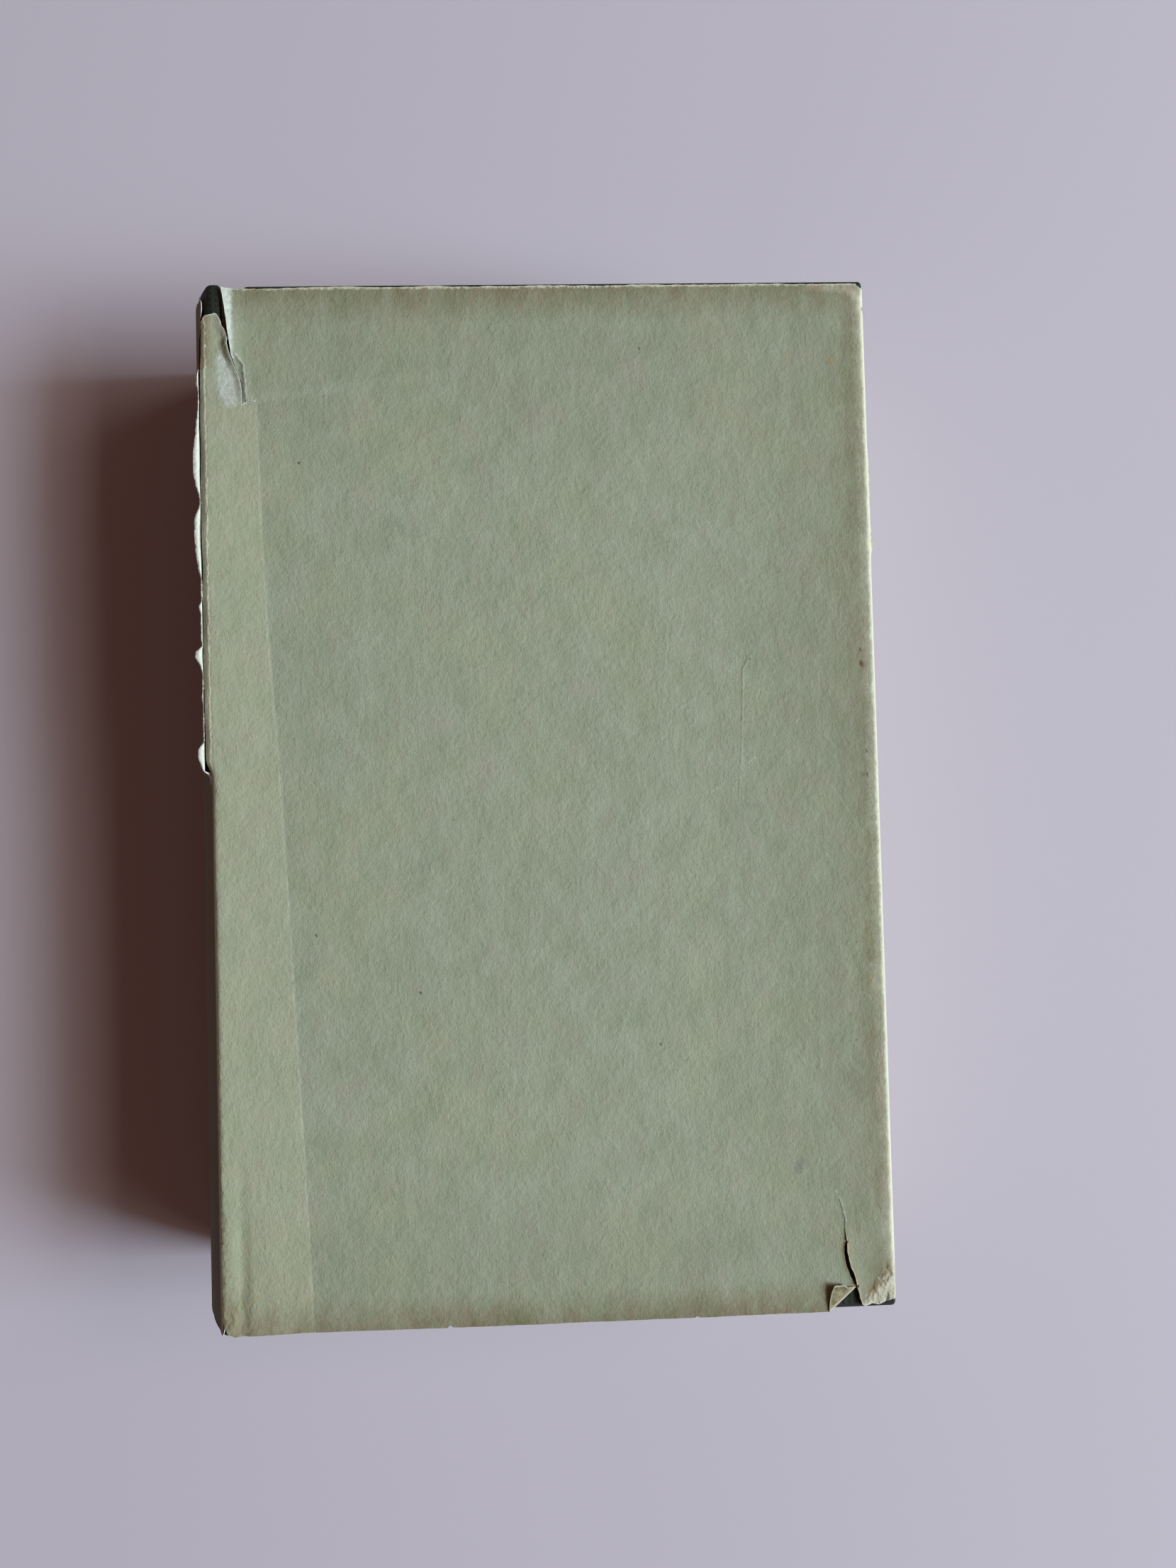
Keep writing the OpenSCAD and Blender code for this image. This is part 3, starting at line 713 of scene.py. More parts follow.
# By y: how wide the panel's white edge is, how far the tongue curls up and the flake stands out
stripWidth = [(92, 0.3), (94, 0.5), (97.5, 0.9), (101, 1.4), (105, 1.9), (110, 2.9)]
tongueCurl = [(85.3, 0.05), (87, 0.25), (91, 0.35), (94, 0.5), (95.5, 0.8), (98.5, 1.0), (100, 0.55),
              (103, 0.2)]
flakeOut = [(50.5, 0), (51.5, 0.5), (53, 0.75), (55, 0.5), (58, 0.2), (64, 0.3), (67, 0.5), (71, 0.25),
            (74, 0)]
margins = {  # how wide the core shows beside each tear, how white, and how far the tear wanders
    "panelEdge": (stripWidth, 0.58, 0.12), "slitRight": (0.2, 0.6, 0.02), "slitLeft": (0.25, 0.7, 0.02),
    "tongueTop": (0.45, 0.75, 0.2), "splitPanel": (0.25, 0.5, 0.07), "splitSpine": (2.2, 1.35, 0.06),
    "spineHead": (0.2, 0.6, 0.3), "headCorner": (0.8, 0.6, 0.25), "tearLeft": (0.18, 0.5, 0.3),
    "crackLeft": (0.12, 0.3, 0.02), "crackRight": (0.2, 0.6, 0.02), "tearRight": (0.35, 0.65, 0.38),
    "tailCorner": (1.1, 0.8, 0.35),
}
foldedCorner = [(60.05, book["tail"]), (65.95, -106.15)]  # the fold's two ends
split = {  # beside the spine: its ends by y, then its two edges and the spine's bends by u
    "tail": 5.6, "head": 94, "panelX": -69.42, "spineX": -69.3,
    "foot": -74.2, "bend": -70.5, "lipEnd": -69.55,
    "reach": 1.15, "crestZ": 48.95,    # how far and how high the spine's paper stands
    "restX": -69.36, "restZ": 48.62,   # where its white lip ends
}
pinch = [(-61.3, 96.2), (-60.4, 95), (-59.75, 93.9), (-59.6, 91.5), (-59.45, 90), (-59.35, 87.9),
         (-59.3, 86.6)]
looseStrip = [(62.3, -85.8), (64.05, -91.6), (64.0, -94.3), (64.17, -96.2), (64.2, -99), (64.6, -101.8),
              (66.1, -106.2), (66.7, -111.5), (76, -111.5), (76, -85.8)]
# Where the paper's face is gone, and the crease it was once folded along
skinned = [(-65, 97), (-65.8, 96), (-65.8, 93.5), (-65.6, 90), (-65.4, 87.4), (-64.7, 85.4),
           (-63.9, 84.5), (-62.9, 84.3), (-61.5, 84.8), (-60.4, 85.3), (-60.5, 88.5), (-60.9, 91),
           (-62, 93.7), (-63.2, 95.5), (-64.2, 96.6)]
worn = [(67.3, -110.5), (67.6, -108.6), (69.6, -106.8), (71.8, -104.4), (73.4, -102.4), (76, -101),
        (76, -110.5)]
oldCrease = [(-58.5, 111), (-57.2, 85.8), (-57.1, 80), (-57, 73), (-56.6, 57), (-55.65, 35.1), (-53.65, 4.8),
             (-51.85, -32.7), (-49.85, -78.5), (-48.6, -111.5)]
# How far the spine's torn edge reaches out beside the split, by y
lipReach = [(5.6, -69.3), (6.6, -69.4), (8.1, -70.0), (9.9, -70.4), (11.7, -70.4), (13.2, -69.4),
            (20.7, -69.35), (22.5, -69.7), (24.6, -69.4), (27.5, -69.4), (29.4, -69.8), (31.3, -70.7),
            (32.6, -70.5), (33.6, -69.4), (35.1, -69.6), (38.8, -69.6), (40.6, -69.6), (42.2, -69.9),
            (43.4, -69.35), (47.8, -69.35), (49.7, -69.8), (52, -70.1), (54.3, -70.35), (57.5, -70.5),
            (60.6, -70.5), (62.4, -69.9), (64.2, -69.35), (66.1, -69.6), (67.9, -70.1), (70.5, -70.5),
            (75, -70.5), (77.5, -70.2), (80, -70), (82.8, -69.75), (85.5, -69.45), (88.2, -69.45),
            (89.8, -69.75), (91.8, -69.7), (92.6, -69.4), (94, -69.4)]
frontMarks = {  # straight marks on the front: (start, end, half width, amount)
    "stains": [((70.6, -30.5), (70.7, -31.4), 0.7, 0.5), ((71.3, -34.5), (71.2, -37.6), 0.6, 0.5),
               ((71.2, -88.9), (74.1, -93.5), 0.22, 0.8), ((73.3, -103.3), (69.2, -107.3), 1.0, 0.95),
               ((71.8, -101.9), (72.6, -101), 0.6, 0.5), ((40, -111), (59, -110.6), 1.6, 0.45),
               ((72.4, -108.7), (74.6, -107.4), 0.8, 0.5), ((-62.5, -107), (-61.5, -109), 1.4, 0.4),
               ((-67, -86), (-67.2, -112), 1.0, 0.5), ((-67.3, -20), (-67.4, -86), 0.7, 0.4)],
    "greys": [((54.9, -78.8), (54.4, -80.8), 1.3, 0.5), ((45.4, -3), (48.2, -3.2), 1.2, 0.16),
              ((-25, -15), (-22, -13), 2.0, 0.12), ((-30, 60), (-27, 58), 1.6, 0.14)],
    "foxed": [((66.9, 93.2), (67.2, 92.9), 0.9, 0.5), ((68.2, 93.4), (68.4, 93.3), 0.6, 0.25),
              ((57.2, 95), (57.3, 94.8), 0.8, 0.4), ((69.3, 106.8), (69.4, 106.6), 0.5, 0.4),
              ((-62.2, -104.3), (-60.9, -103.9), 0.24, 0.8), ((-60.9, -103.9), (-60, -102.8), 0.24, 0.9),
              ((-65.9, -106.5), (-64.6, -105.6), 0.22, 0.8), ((71, -30.2), (71.1, -33), 0.7, 0.4),
              ((71.1, -40), (71.3, -42), 0.8, 0.4), ((71.2, -51.5), (71.3, -52), 0.8, 0.3),
              ((-49.8, -104.6), (-48.6, -104), 1.0, 0.25)],
    "browns": [((71.4, 30.3), (71.6, 29.9), 0.32, 0.8), ((71.5, 27.2), (71.8, 26.5), 0.55, 1.0),
               ((72.2, 22.1), (72.3, 22), 0.25, 0.5), ((72, 8.3), (72.1, 7.8), 0.28, 0.7),
               ((72.1, 3.1), (72.1, 2.7), 0.28, 0.85), ((71, 3.1), (71.2, 2.8), 0.45, 0.35),
               ((68.5, -33), (68.6, -33.1), 0.2, 0.7), ((71.8, -33.9), (71.9, -34), 0.18, 0.7),
               ((72.4, -37.7), (72.6, -37.7), 0.2, 0.8), ((69.4, -43.4), (69.5, -43.5), 0.2, 0.7),
               ((67.7, -54), (67.8, -54), 0.2, 0.7), ((-67.4, -109.6), (-66.7, -107.4), 0.4, 0.6)],
    "specks": [((25.1, 96.8), (25.3, 96.5), 0.3, 0.9), ((-48.5, 72.6), (-48.4, 72.5), 0.28, 0.8),
               ((-17.2, -4.6), (-17.1, -4.6), 0.25, 0.8), ((-25.1, -40.9), (-25, -41.1), 0.35, 0.8),
               ((-46.8, -28.1), (-46.6, -28.4), 0.28, 0.8), ((25.6, -53.4), (25.8, -53.7), 0.32, 0.9),
               ((75.4, 79), (75.55, 58), 0.3, 0.6), ((31.2, 3.1), (31.3, 3.1), 0.16, 0.7),
               ((47.3, 28.6), (47.3, 28.4), 0.17, 0.8), ((72.8, -0.1), (72.8, -0.2), 0.18, 0.9)],
    "pale": [((-57.2, 86.4), (-40, 88.6), 1.6, 0.1), ((-40, 88.6), (-11.4, 91.9), 1.8, 0.05),
             ((-61, 105.7), (-40, 107.4), 1.8, 0.07), ((15.4, -55.7), (20.3, -43.1), 0.3, 0.16),
             ((64, 1), (70.7, -9.3), 0.25, 0.14), ((20.2, -43.1), (20.9, -55.4), 0.25, 0.1),
             ((-42, -63), (-39.5, -70), 0.25, 0.12), ((42.5, 34.7), (42.3, 33.5), 0.15, 0.45),
             ((46.4, 6.1), (47.9, 7.3), 0.13, 0.5), ((38.4, 0), (39.9, 1), 0.14, 0.5),
             ((56.8, 14.5), (57.8, 15.6), 0.13, 0.45), ((50.8, 21.1), (51.1, 21.2), 0.16, 0.5)],
    "rubbed": [((74.8, 106), (75, 84), 1.9, 0.6), ((75, -72), (75, -106), 1.8, 0.6),
               ((62, 110), (71.5, 109.3), 1.2, 0.45), ((72, 109.2), (74.6, 106.6), 1.5, 0.75),
               ((-67.9, 4), (-68, -40), 0.3, 0.6), ((-68, -40), (-68.1, -104), 0.35, 0.75)],
    "raised": [((47.1, 28.9), (45.7, 26.2), 0.42, 1.0), ((45.7, 26.2), (45.6, 22.5), 0.38, 0.9),
               ((45.6, 22.5), (44.7, 5.5), 0.33, 0.6), ((44.7, 5.5), (44, -1.2), 0.3, 0.35)],
    "dotted": [((0.1, -56.2), (20.1, -56), 0.35, 0.6), ((-6, -56.6), (0.1, -56.2), 0.3, 0.3)],
}


def fillSheet(outline, lines, columns, ySpacing, fine, seed, ridges=()):
    # Triangles inside an outline: a plain grid, and finer scattered points near the torn lines.
    # The ridges are lines that the triangles keep to, so that a fold along them stays crisp.
    rng = np.random.default_rng(seed)
    low, high = outline.min(0), outline.max(0)
    rows = np.arange(low[1] + ySpacing / 2, high[1], ySpacing)
    grid = np.array([(u, y) for u in columns for y in rows])
    points = [grid]
    if lines:
        near = np.full(len(grid), 1e9)
        for line in lines:
            near = np.minimum(near, distanceTo(grid, line[::4]))
        points = [grid[near > fine["reach"] * 2]]
        for line in lines:
            for step, inner, outer in ((fine["step"], 0, fine["reach"]),
                                       (fine["step"] * 2.4, fine["reach"], fine["reach"] * 2)):
                a, b = line.min(0) - outer, line.max(0) + outer
                u, y = np.meshgrid(np.arange(a[0], b[0], step), np.arange(a[1], b[1], step))
                patch = np.column_stack([u.ravel(), y.ravel()])
                patch += rng.uniform(-0.25, 0.25, patch.shape) * step
                far = distanceTo(patch, line)
                patch = patch[(far > max(inner, 0.3 * fine["step"])) & (far < outer)]
                for other in lines:
                    if other is not line and len(patch):
                        patch = patch[distanceTo(patch, other) > max(inner, 0.3 * fine["step"])]
                points.append(patch)
    points = np.concatenate(points)
    points = points[insideOf(points, outline)]
    points = points[distanceTo(points, np.vstack([outline, outline[:1]])) > 0.12]
    # thin out points that came from two lines
    keys = np.round(points / (fine["step"] * 0.55 if lines else 0.5)).astype(int)
    unique = np.sort(np.unique(keys, axis=0, return_index=True)[1])
    points = points[unique]
    count = len(outline)
    edges = [(i, (i + 1) % count) for i in range(count)]
    for ridge in ridges:
        points = points[distanceTo(points, ridge) > 0.3]
    first = count
    for ridge in ridges:
        edges += [(first + i, first + i + 1) for i in range(len(ridge) - 1)]
        first += len(ridge)
    points = np.concatenate([outline, *ridges, points])
    out = delaunay_2d_cdt([Vector(p) for p in points.tolist()], edges, [list(range(count))], 1, 1e-5)
    verts = np.array([tuple(v) for v in out[0]])
    faces = np.array([f for f in out[2] if len(f) == 3])
    faces = faces[insideOf(verts[faces].mean(axis=1), outline)]
    used, faces = np.unique(faces, return_inverse=True)
    verts, faces = verts[used], faces.reshape(-1, 3)
    a, b, c = (verts[faces[:, i]] for i in range(3))
    flip = np.cross(b - a, c - a) < 0
    faces[flip] = faces[flip][:, ::-1]
    return verts, faces


def panelWaves(x, y, seed, height):
    # The slack paper's gentle waves over the board
    rng = np.random.default_rng(seed)
    total = np.zeros(len(x))
    for i in range(10):
        length, way, start = rng.uniform(26, 90), rng.uniform(-0.9, 0.9), rng.uniform(0, 6.3)
        total += np.sin((x * math.cos(way) + y * math.sin(way)) * 2 * math.pi / length + start)
    return total * height / 5


def byHeight(table, y):
    # A value read off a short table of (y, value)
    table = np.array(sorted(table))
    return np.interp(y, table[:, 0], table[:, 1])


def around(points, outline):
    # The distance from an outline, below zero outside it
    away = distanceTo(points, evenly(outline + outline[:1], 0.6))
    return away * np.where(insideOf(points, np.array(outline)), 1, -1)


def frontOutline(torn):
    # The flat sheet's outline: the tail, the flap at the fore-edge, the head, the joint and the spine
    low, high = frontPath["u"][0], frontPath["u"][-1]
    tail, head = book["tail"], book["head"]
    tailLine = [(low, tail + 2.2), (-71, tail + 2.3), (-70.2, tail + 1.6), (-69.2, tail + 1.0),
                (-68.2, tail + 0.75), (-67.5, tail + 0.75), (-67.15, tail + 1.7), (-66.8, tail + 2.5),
                (-66.55, tail + 1.4), (-66.2, tail + 0.85), (-65.6, tail + 0.75), (-64.8, tail + 0.35),
                (-40, tail + 0.25), (-20.9, tail + 0.1), (-20.3, tail + 0.55), (-19.6, tail + 0.1), (0, tail),
                (31.3, tail), (31.7, tail + 0.3), (32.4, tail), foldedCorner[0]]
    headLine = [(73.1, head), (40, head + 0.08), (-50, head + 0.08),
                (-57, head - 0.15), tears["panelEdge"][0]]
    flap = [tears["tailCorner"][-1], (high, tail), (high, head), tears["headCorner"][0]]
    loop = [tornLine(tailLine, 0.6, 0.12, 20), evenly(foldedCorner, 0.45)]
    loop += [torn[k] for k in ("tearLeft", "crackLeft", "crackRight", "tearRight", "tailCorner")]
    loop += [evenly(flap, 2.4), torn["headCorner"], tornLine(headLine, 0.5, 0.26, 21)]
    loop += [torn[k] for k in ("panelEdge", "slitRight", "slitLeft", "tongueTop", "splitPanel", "splitSpine",
                               "spineHead")]
    loop += [evenly([tears["spineHead"][-1], (low, head), (low, tail + 2.2)], 2.4)]
    return np.concatenate([part[:-1] for part in loop])


def frontGrid(torn):
    # Points and triangles of the flat sheet, fine at its tears and folds
    low, high = frontPath["u"][0], frontPath["u"][-1]
    columns = np.concatenate([
        np.arange(low + 1, -74, 1.8), np.arange(-73.6, -65.4, 0.4), np.arange(-64.8, -59.6, 1.0),
        np.arange(-58.4, 72.8, 2.3), np.arange(73.4, 79.6, 0.3), np.arange(81, high, 3.0)])
    crease = evenly([(-57.2, 84.6)] + oldCrease[2:-1] + [(-48.65, -109.8)], 1.8)
    ridges = [crease, crease + (0.55, 0), crease - (0.55, 0), evenly(pinch, 0.5)]
    lines = [torn[k] for k in tears] + [evenly(foldedCorner, 0.45)]
    return fillSheet(frontOutline(torn), lines, columns, 2.4, {"step": 0.45, "reach": 2.2}, 5, ridges)


def springSplit(u, y, x, z):
    # Beside the split the panel's own strip springs out flat past the ridge, the spine's paper
    # stands up, and its torn margin lies over as a white lip
    ridge = fold["ridgeX"]
    scrap = (u < -68.3) & (y > 104)
    strip = (u > split["panelX"]) & (u < ridge + 2.2) & (y > split["tail"]) & ~scrap
    sprung = np.where(strip, smoothStep((y - split["tail"]) / 4), 0)
    past = np.clip(ridge + 0.6 - u, 0, None)
    fall = 0.11 * (1 + 0.2 * np.sin(y / 5.1) + 0.15 * np.sin(y / 1.9))
    flatX, flatZ = u + 0.03 * past ** 2, fold["ridgeZ"] - 0.04 - fall * past ** 2
    x, z = x + (flatX - x) * sprung, z + (flatZ - z) * sprung

    lip = (u < split["spineX"]) & (u > split["foot"]) & (y > split["tail"]) & (y < split["head"]) & ~strip
    reach = -69.35 + split["reach"] * (byHeight(lipReach, y) + 69.35)
    bend = split["bend"]
    rise = smoothStep((u - split["foot"]) / (bend - split["foot"]))
    over = np.clip((u - bend) / (split["lipEnd"] - bend), 0, 1)
    free = smoothStep((y - split["tail"]) / 1.6) * smoothStep((split["head"] - y) / 1.2) * lip
    bendX, bendZ = (onPath(frontPath, np.full(len(u), bend), axis) for axis in ("x", "z"))
    x += free * (rise * (reach - bendX) * (1 - over) + over * (split["restX"] - x))
    z += free * (rise * (split["crestZ"] - bendZ) * (1 - over) + over * (split["restZ"] - z))
    # the fragment at the head of the spine lies over the shoulder
    lain = scrap * smoothStep((u + 74) / 4) * smoothStep((y - 102) / 3)
    return x - 0.7 * lain, z - 0.1 * lain


def settlePanel(u, y, x, z, creaseX):
    # Down from the ridge to the old crease, level past it, with a dip into the joint near the
    # tail and gentle waves over the board
    ridge = fold["ridgeX"]
    t = np.clip((u - ridge) / (creaseX - ridge), 0, 1)
    kink = 0.92 * smoothStep((90 - y) / 6)
    z = z - drop * (kink * t + (1 - kink) * (1 - (1 - t) ** 2))
    z -= 0.5 * smoothStep((-70 - y) / 30) * smoothStep(1 - np.abs(u + 63.1) / 1.45)
    panel = smoothStep((u - ridge - 3) / 12) * smoothStep((book["foreX"] - 1 - u) / 10)
    return z + panel * (0.12 + panelWaves(x, y, 3, 0.09))


def curlEdges(u, y, near):
    # How far the torn edges curl up
    top = smoothStep((u - fold["ridgeX"]) / 2) * (u < 74)
    z = top * np.exp(-near["panel"] / 1.8) * (u > -64.4) * ~near["onTongue"] * smoothStep((y - 93) / 8)
    curl = byHeight(tongueCurl, y) * np.clip(1.15 - near["tongue"] / 1.2, 0, 1)
    z += top * near["onTongue"] * curl * smoothStep((-59.5 - u) / 0.8)
    lifted = 0.12 * smoothStep((-85.8 - y) / 3) + 0.5 * smoothStep((-93 - y) / 6)
    z += top * near["rightOfTear"] * np.exp(-near["tear"] / 1.5) * lifted
    left = u < byHeight([(b, a) for a, b in pinch], y)
    wedge = ~near["onTongue"] & (y > 85.7) & (y < 96.2) & left & (u > -62.6)
    z += 0.16 * np.exp(-near["pinch"] / 1.2) * ~near["onTongue"]
    return z - 0.3 * wedge * np.clip(near["pinch"] / 0.8, 0, 1)


def frontNear(flat, torn):
    # How near each point is to the tears, and on which side of them
    u, y = flat.T

    def away(*names):
        return np.min([distanceTo(flat, torn[name]) for name in names], axis=0)

    near = {"panel": away("panelEdge", "slitRight"), "tongue": away("tongueTop", "slitLeft"),
            "tear": away("tearRight", "crackRight"), "pinch": distanceTo(flat, evenly(pinch, 0.5)),
            "rightOfTear": insideOf(flat, np.array(looseStrip))}
    near["onTongue"] = (near["tongue"] < near["panel"]) & (u > -69) & (y > 84)
    return near


def paintCore(flat, torn, near, abraded):
    # Where the face is gone: beside each tear, on the skinned and the worn places and on the pinch
    u, y = flat.T
    core = np.zeros(len(u))
    shown = {"splitSpine": (u < split["spineX"]) & (y < split["head"]), "splitPanel": u > split["panelX"]}
    for key, line in torn.items():
        width, white = margins[key][:2]
        steep = 1
        if width is stripWidth:
            width, steep = byHeight(width, y), 2.2
        beside = white * np.clip(steep * (1 - distanceTo(flat, line) / width), 0, 1)
        core = np.maximum(core, np.where(shown.get(key, True), beside, 0))
    core = np.maximum(core, 0.5 * np.clip(0.5 + around(flat, skinned) / 1.6, 0, 1))
    core = np.maximum(core, np.where(near["onTongue"], 0, 0.75 * (1 - near["pinch"] / 0.4)))
    return np.maximum(core, 0.56 * abraded)


def paintWear(flat, torn, abraded, flake):
    # How crumpled and how soiled each place is: (amount, line, how far it fades)
    u, y = flat.T
    tailFold = [(-66, -110), (-64, -106)]
    cornerRim = [(73.6, -102.6), (71.4, -105), (69, -107.4)]
    tongue = insideOf(flat, np.array([(-62, 95), (-62.4, 106), (-69.5, 106), (-69.5, 96), (-66.3, 97)]))

    def fading(amount, line, fade):
        return amount * np.exp(-distanceTo(flat, np.array(line)) / fade)

    crumple = np.max([
        0.9 * abraded, 0.16 * tongue, fading(0.45, tailFold, 3), fading(0.5, torn["headCorner"], 1.5),
        0.35 * np.exp(-np.abs(u - fold["ridgeX"]) / 1.2) * smoothStep((-20 - y) / 60),
        fading(0.3, torn["panelEdge"], 1.2)], axis=0)
    soil = np.max([
        fading(0.5, [(-66.5, -111), (-65, -106)], 2.0), 0.3 * abraded, fading(0.9, cornerRim, 0.8),
        fading(0.5, torn["tearRight"], 0.5), fading(0.5, torn["tearLeft"], 0.5),
        0.45 * smoothStep((-65.6 - u) / 2.2) * (y > 93), 0.6 * (flake > 0.1)], axis=0)
    return crumple, soil


def frontSheet():
    torn = {k: tornLine(v, 0.4, margins[k][2], i) for i, (k, v) in enumerate(tears.items())}
    flat, faces = frontGrid(torn)
    u, y = flat.T
    print("  front sheet:", len(flat), "points,", len(faces), "faces")

    near = frontNear(flat, torn)
    creaseX = byHeight([(b, a) for a, b in oldCrease], y)
    x, z = springSplit(u, y, onPath(frontPath, u, "x"), onPath(frontPath, u, "z"))
    z = settlePanel(u, y, x, z, creaseX) + curlEdges(u, y, near)
    flake = np.exp(-((u - 75.9) / 0.7) ** 2) * byHeight(flakeOut, y)
    abraded = np.clip(0.5 + around(flat, worn) / 2, 0, 1)
    crumple, soil = paintWear(flat, torn, abraded, flake)
    values = {"flat": np.column_stack([flat, np.zeros(len(u))]), "core": paintCore(flat, torn, near, abraded),
              "soil": soil, "crumple": crumple, "crease": u - creaseX}
    paper = jacketPaper({"name": "front", "marks": frontMarks,
                         "rubs": [(fold["ridgeX"] - 0.25, 0.28, 1.0, 0.35), (book["foreX"], 1.5, 0.85, 0.5),
                                  (book["foreX"], 3.2, 0.3, 0.9)]})
    piece = makeSheet("jacketFront", np.column_stack([x + flake, y, z]), faces, fold["thick"],
                      [paper, reversePaper, tornPaper], values)
    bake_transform(piece)
    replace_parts(piece, "jacket_front", "jacket_spine")


def backSheet():
    low, high = backPath["u"][0], backPath["u"][-1]
    outline = evenly([(low, book["tail"]), (high, book["tail"]), (high, book["head"]), (low, book["head"]),
                      (low, book["tail"])], 2.6)[:-1]
    columns = np.concatenate([
        np.arange(low + 1, -69.4, 1.8), np.arange(-69.2, -65.4, 0.4), np.arange(-64.8, -59.6, 1.0),
        np.arange(-58.4, 72.8, 2.8), np.arange(73.4, 79.6, 0.3), np.arange(81, high, 3.2)])
    flat, faces = fillSheet(outline, [], columns, 2.8, {"step": 0.5, "reach": 0}, 6)
    u, y = flat.T
    points = np.column_stack([onPath(backPath, u, "x"), y, onPath(backPath, u, "z")])
    paper = jacketPaper({"name": "back", "marks": None,
                         "rubs": [(spineEnd, 0.4, 0.7, 0.4), (book["foreX"] - 0.3, 1.2, 0.75, 0.5)]})
    zero = np.zeros(len(u))
    values = {"flat": np.column_stack([u, y, np.full(len(u), 60.0)]), "core": zero, "soil": zero,
              "crumple": zero}
    piece = makeSheet("jacketBack", points, faces[:, ::-1], fold["thick"], [paper, reversePaper, tornPaper],
                      values)
    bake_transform(piece)
    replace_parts(piece, "jacket_back")


def tailFlap():
    # The torn corner, folded back over the panel, with its soiled reverse up
    flap = {"lean": 10, "lift": 0.2,
            "shape": [(0, 0), (0.9, 1.1), (1.8, 2.0), (3.2, 3.2), (4.5, 4.0), (4.95, 3.7), (5.4, 3.0),
                      (6.2, 2.3), (6.3, 1.3), (6.9, 0.8), (7.8, 0)]}
    low, high = np.array(foldedCorner)
    run = (high - low) / np.linalg.norm(high - low)
    side = np.array([-run[1], run[0]])
    torn = tornLine(flap["shape"], 0.3, 0.12, 40)
    outline = np.concatenate([torn[:-1], evenly([flap["shape"][-1], flap["shape"][0]], 0.3)[:-1]])
    flat, faces = fillSheet(outline, [], np.arange(0.2, 8, 0.3), 0.3, {"step": 0.3, "reach": 0}, 8)
    along, out = flat.T
    lift = flap["lift"] + out * math.sin(math.radians(flap["lean"])) + 0.035 * out ** 2
    lift += 0.07 * np.sin(along * 2.1 + out * 0.9) * np.sin(out * 1.7 + 1) * np.clip(out, 0, 1)
    reach = out * math.cos(math.radians(flap["lean"] + 8))
    across = low + along[:, None] * run + reach[:, None] * side
    points = np.column_stack([across, book["top"] + 0.15 + lift])
    points[:, 1] = np.maximum(points[:, 1], book["tail"] - 0.1)
    edge = distanceTo(flat, torn)
    paper, tree = newMaterial("soiledReverse")  # the paper's inner side, brown with dirt
    place = paperPlace(tree)
    stain = noiseAt(tree, place, 1 / 1.6, (1, 0.6, 1), 5, 0.7, 2)
    colour = blendColour(tree, spread(tree, stain, 0.4, 0.62), hexColour("8d8568"), hexColour("61573b"))
    border = plus(tree, painted(tree, "core"), spread(tree, stain, 0.3, 0.7, -0.12, 0.12))
    colour = blendColour(tree, spread(tree, border, -0.1, 0.2), colour, hexColour("bdb8a0"))
    finishMaterial(tree, {"Base Color": colour, "Roughness": 0.85}, [(stain, 0.25)])
    core = np.maximum(0.4 - out, 0.12 - edge)
    piece = makeSheet("jacketTornCorner", points, faces, fold["thick"], [paper, reversePaper, tornPaper],
                      {"flat": np.column_stack([flat, np.zeros(len(flat))]), "core": core})
    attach(piece, "front_cover")


frontSheet()
backSheet()
tailFlap()
print("jacket made")


# The cloth case

def sweptGrid(path, uValues, yValues):
    # Points and faces of a sheet that runs straight along Y
    x, z = onPath(path, uValues, "x"), onPath(path, uValues, "z")
    points = np.array([(x[i], y, z[i]) for i in range(len(uValues)) for y in yValues])
    n = len(yValues)
    faces = np.array([(i * n + j, (i + 1) * n + j, (i + 1) * n + j + 1, i * n + j + 1)
                      for i in range(len(uValues) - 1) for j in range(n - 1)])
    flat = np.array([(u, y, 0) for u in uValues for y in yValues])
    return points, faces, flat


def coverHeight(depth, front):
    # The height at this depth below the outside of a cover's cloth
    return clothHigh[2] - depth if front else 0.2 + depth


def caseSection(case, front):
    # The cloth's line across the book, from the crown of the spine over the shoulder, down into
    # the groove and over the board, and the places u along it that carry points
    top = book["shoulderTop"] - case["jacket"] if front else case["jacket"]
    arc = arcPoints(caseLow[0] + case["roundX"], abs(top - book["midZ"]), caseLow[0], book["midZ"],
                    1 if front else -1)
    outside, wall, groove = (coverHeight(d, front) for d in (0, case["wallFoot"], case["grooveFloor"]))
    laid = layPath(arc + [
        (case["shoulderX"], top), (case["grooveWall"], top), (case["grooveWall"] + 0.05, wall),
        (case["grooveWall"] + 1.3, groove), (book["boardEdge"] - 0.7, groove), (book["boardEdge"], wall),
        (book["boardEdge"], outside), (clothHigh[0], outside)], case["soft"])
    edge = laid["u"][-1]
    board = edge - (clothHigh[0] - book["boardEdge"])
    inSpine = np.concatenate([np.arange(0, 24, 1.6), np.arange(24.2, board + 1.6, 0.3)])
    inBoard = np.linspace(board + 1.9, edge, 44)
    u = np.concatenate([inSpine, inBoard])
    share = np.concatenate([np.zeros(len(inSpine)), (inBoard - inBoard[0]) / (inBoard[-1] - inBoard[0])])
    core = case["spineCore"] + (case["boardCore"] - case["spineCore"]) * smoothStep((u - board + 2.5) / 2.5)
    normal = onPath(laid, u, "heading") + (-math.pi / 2 if front else math.pi / 2)
    return {"path": laid, "u": u, "share": share, "core": core, "normal": normal, "from": board + 1.9,
            "to": edge}


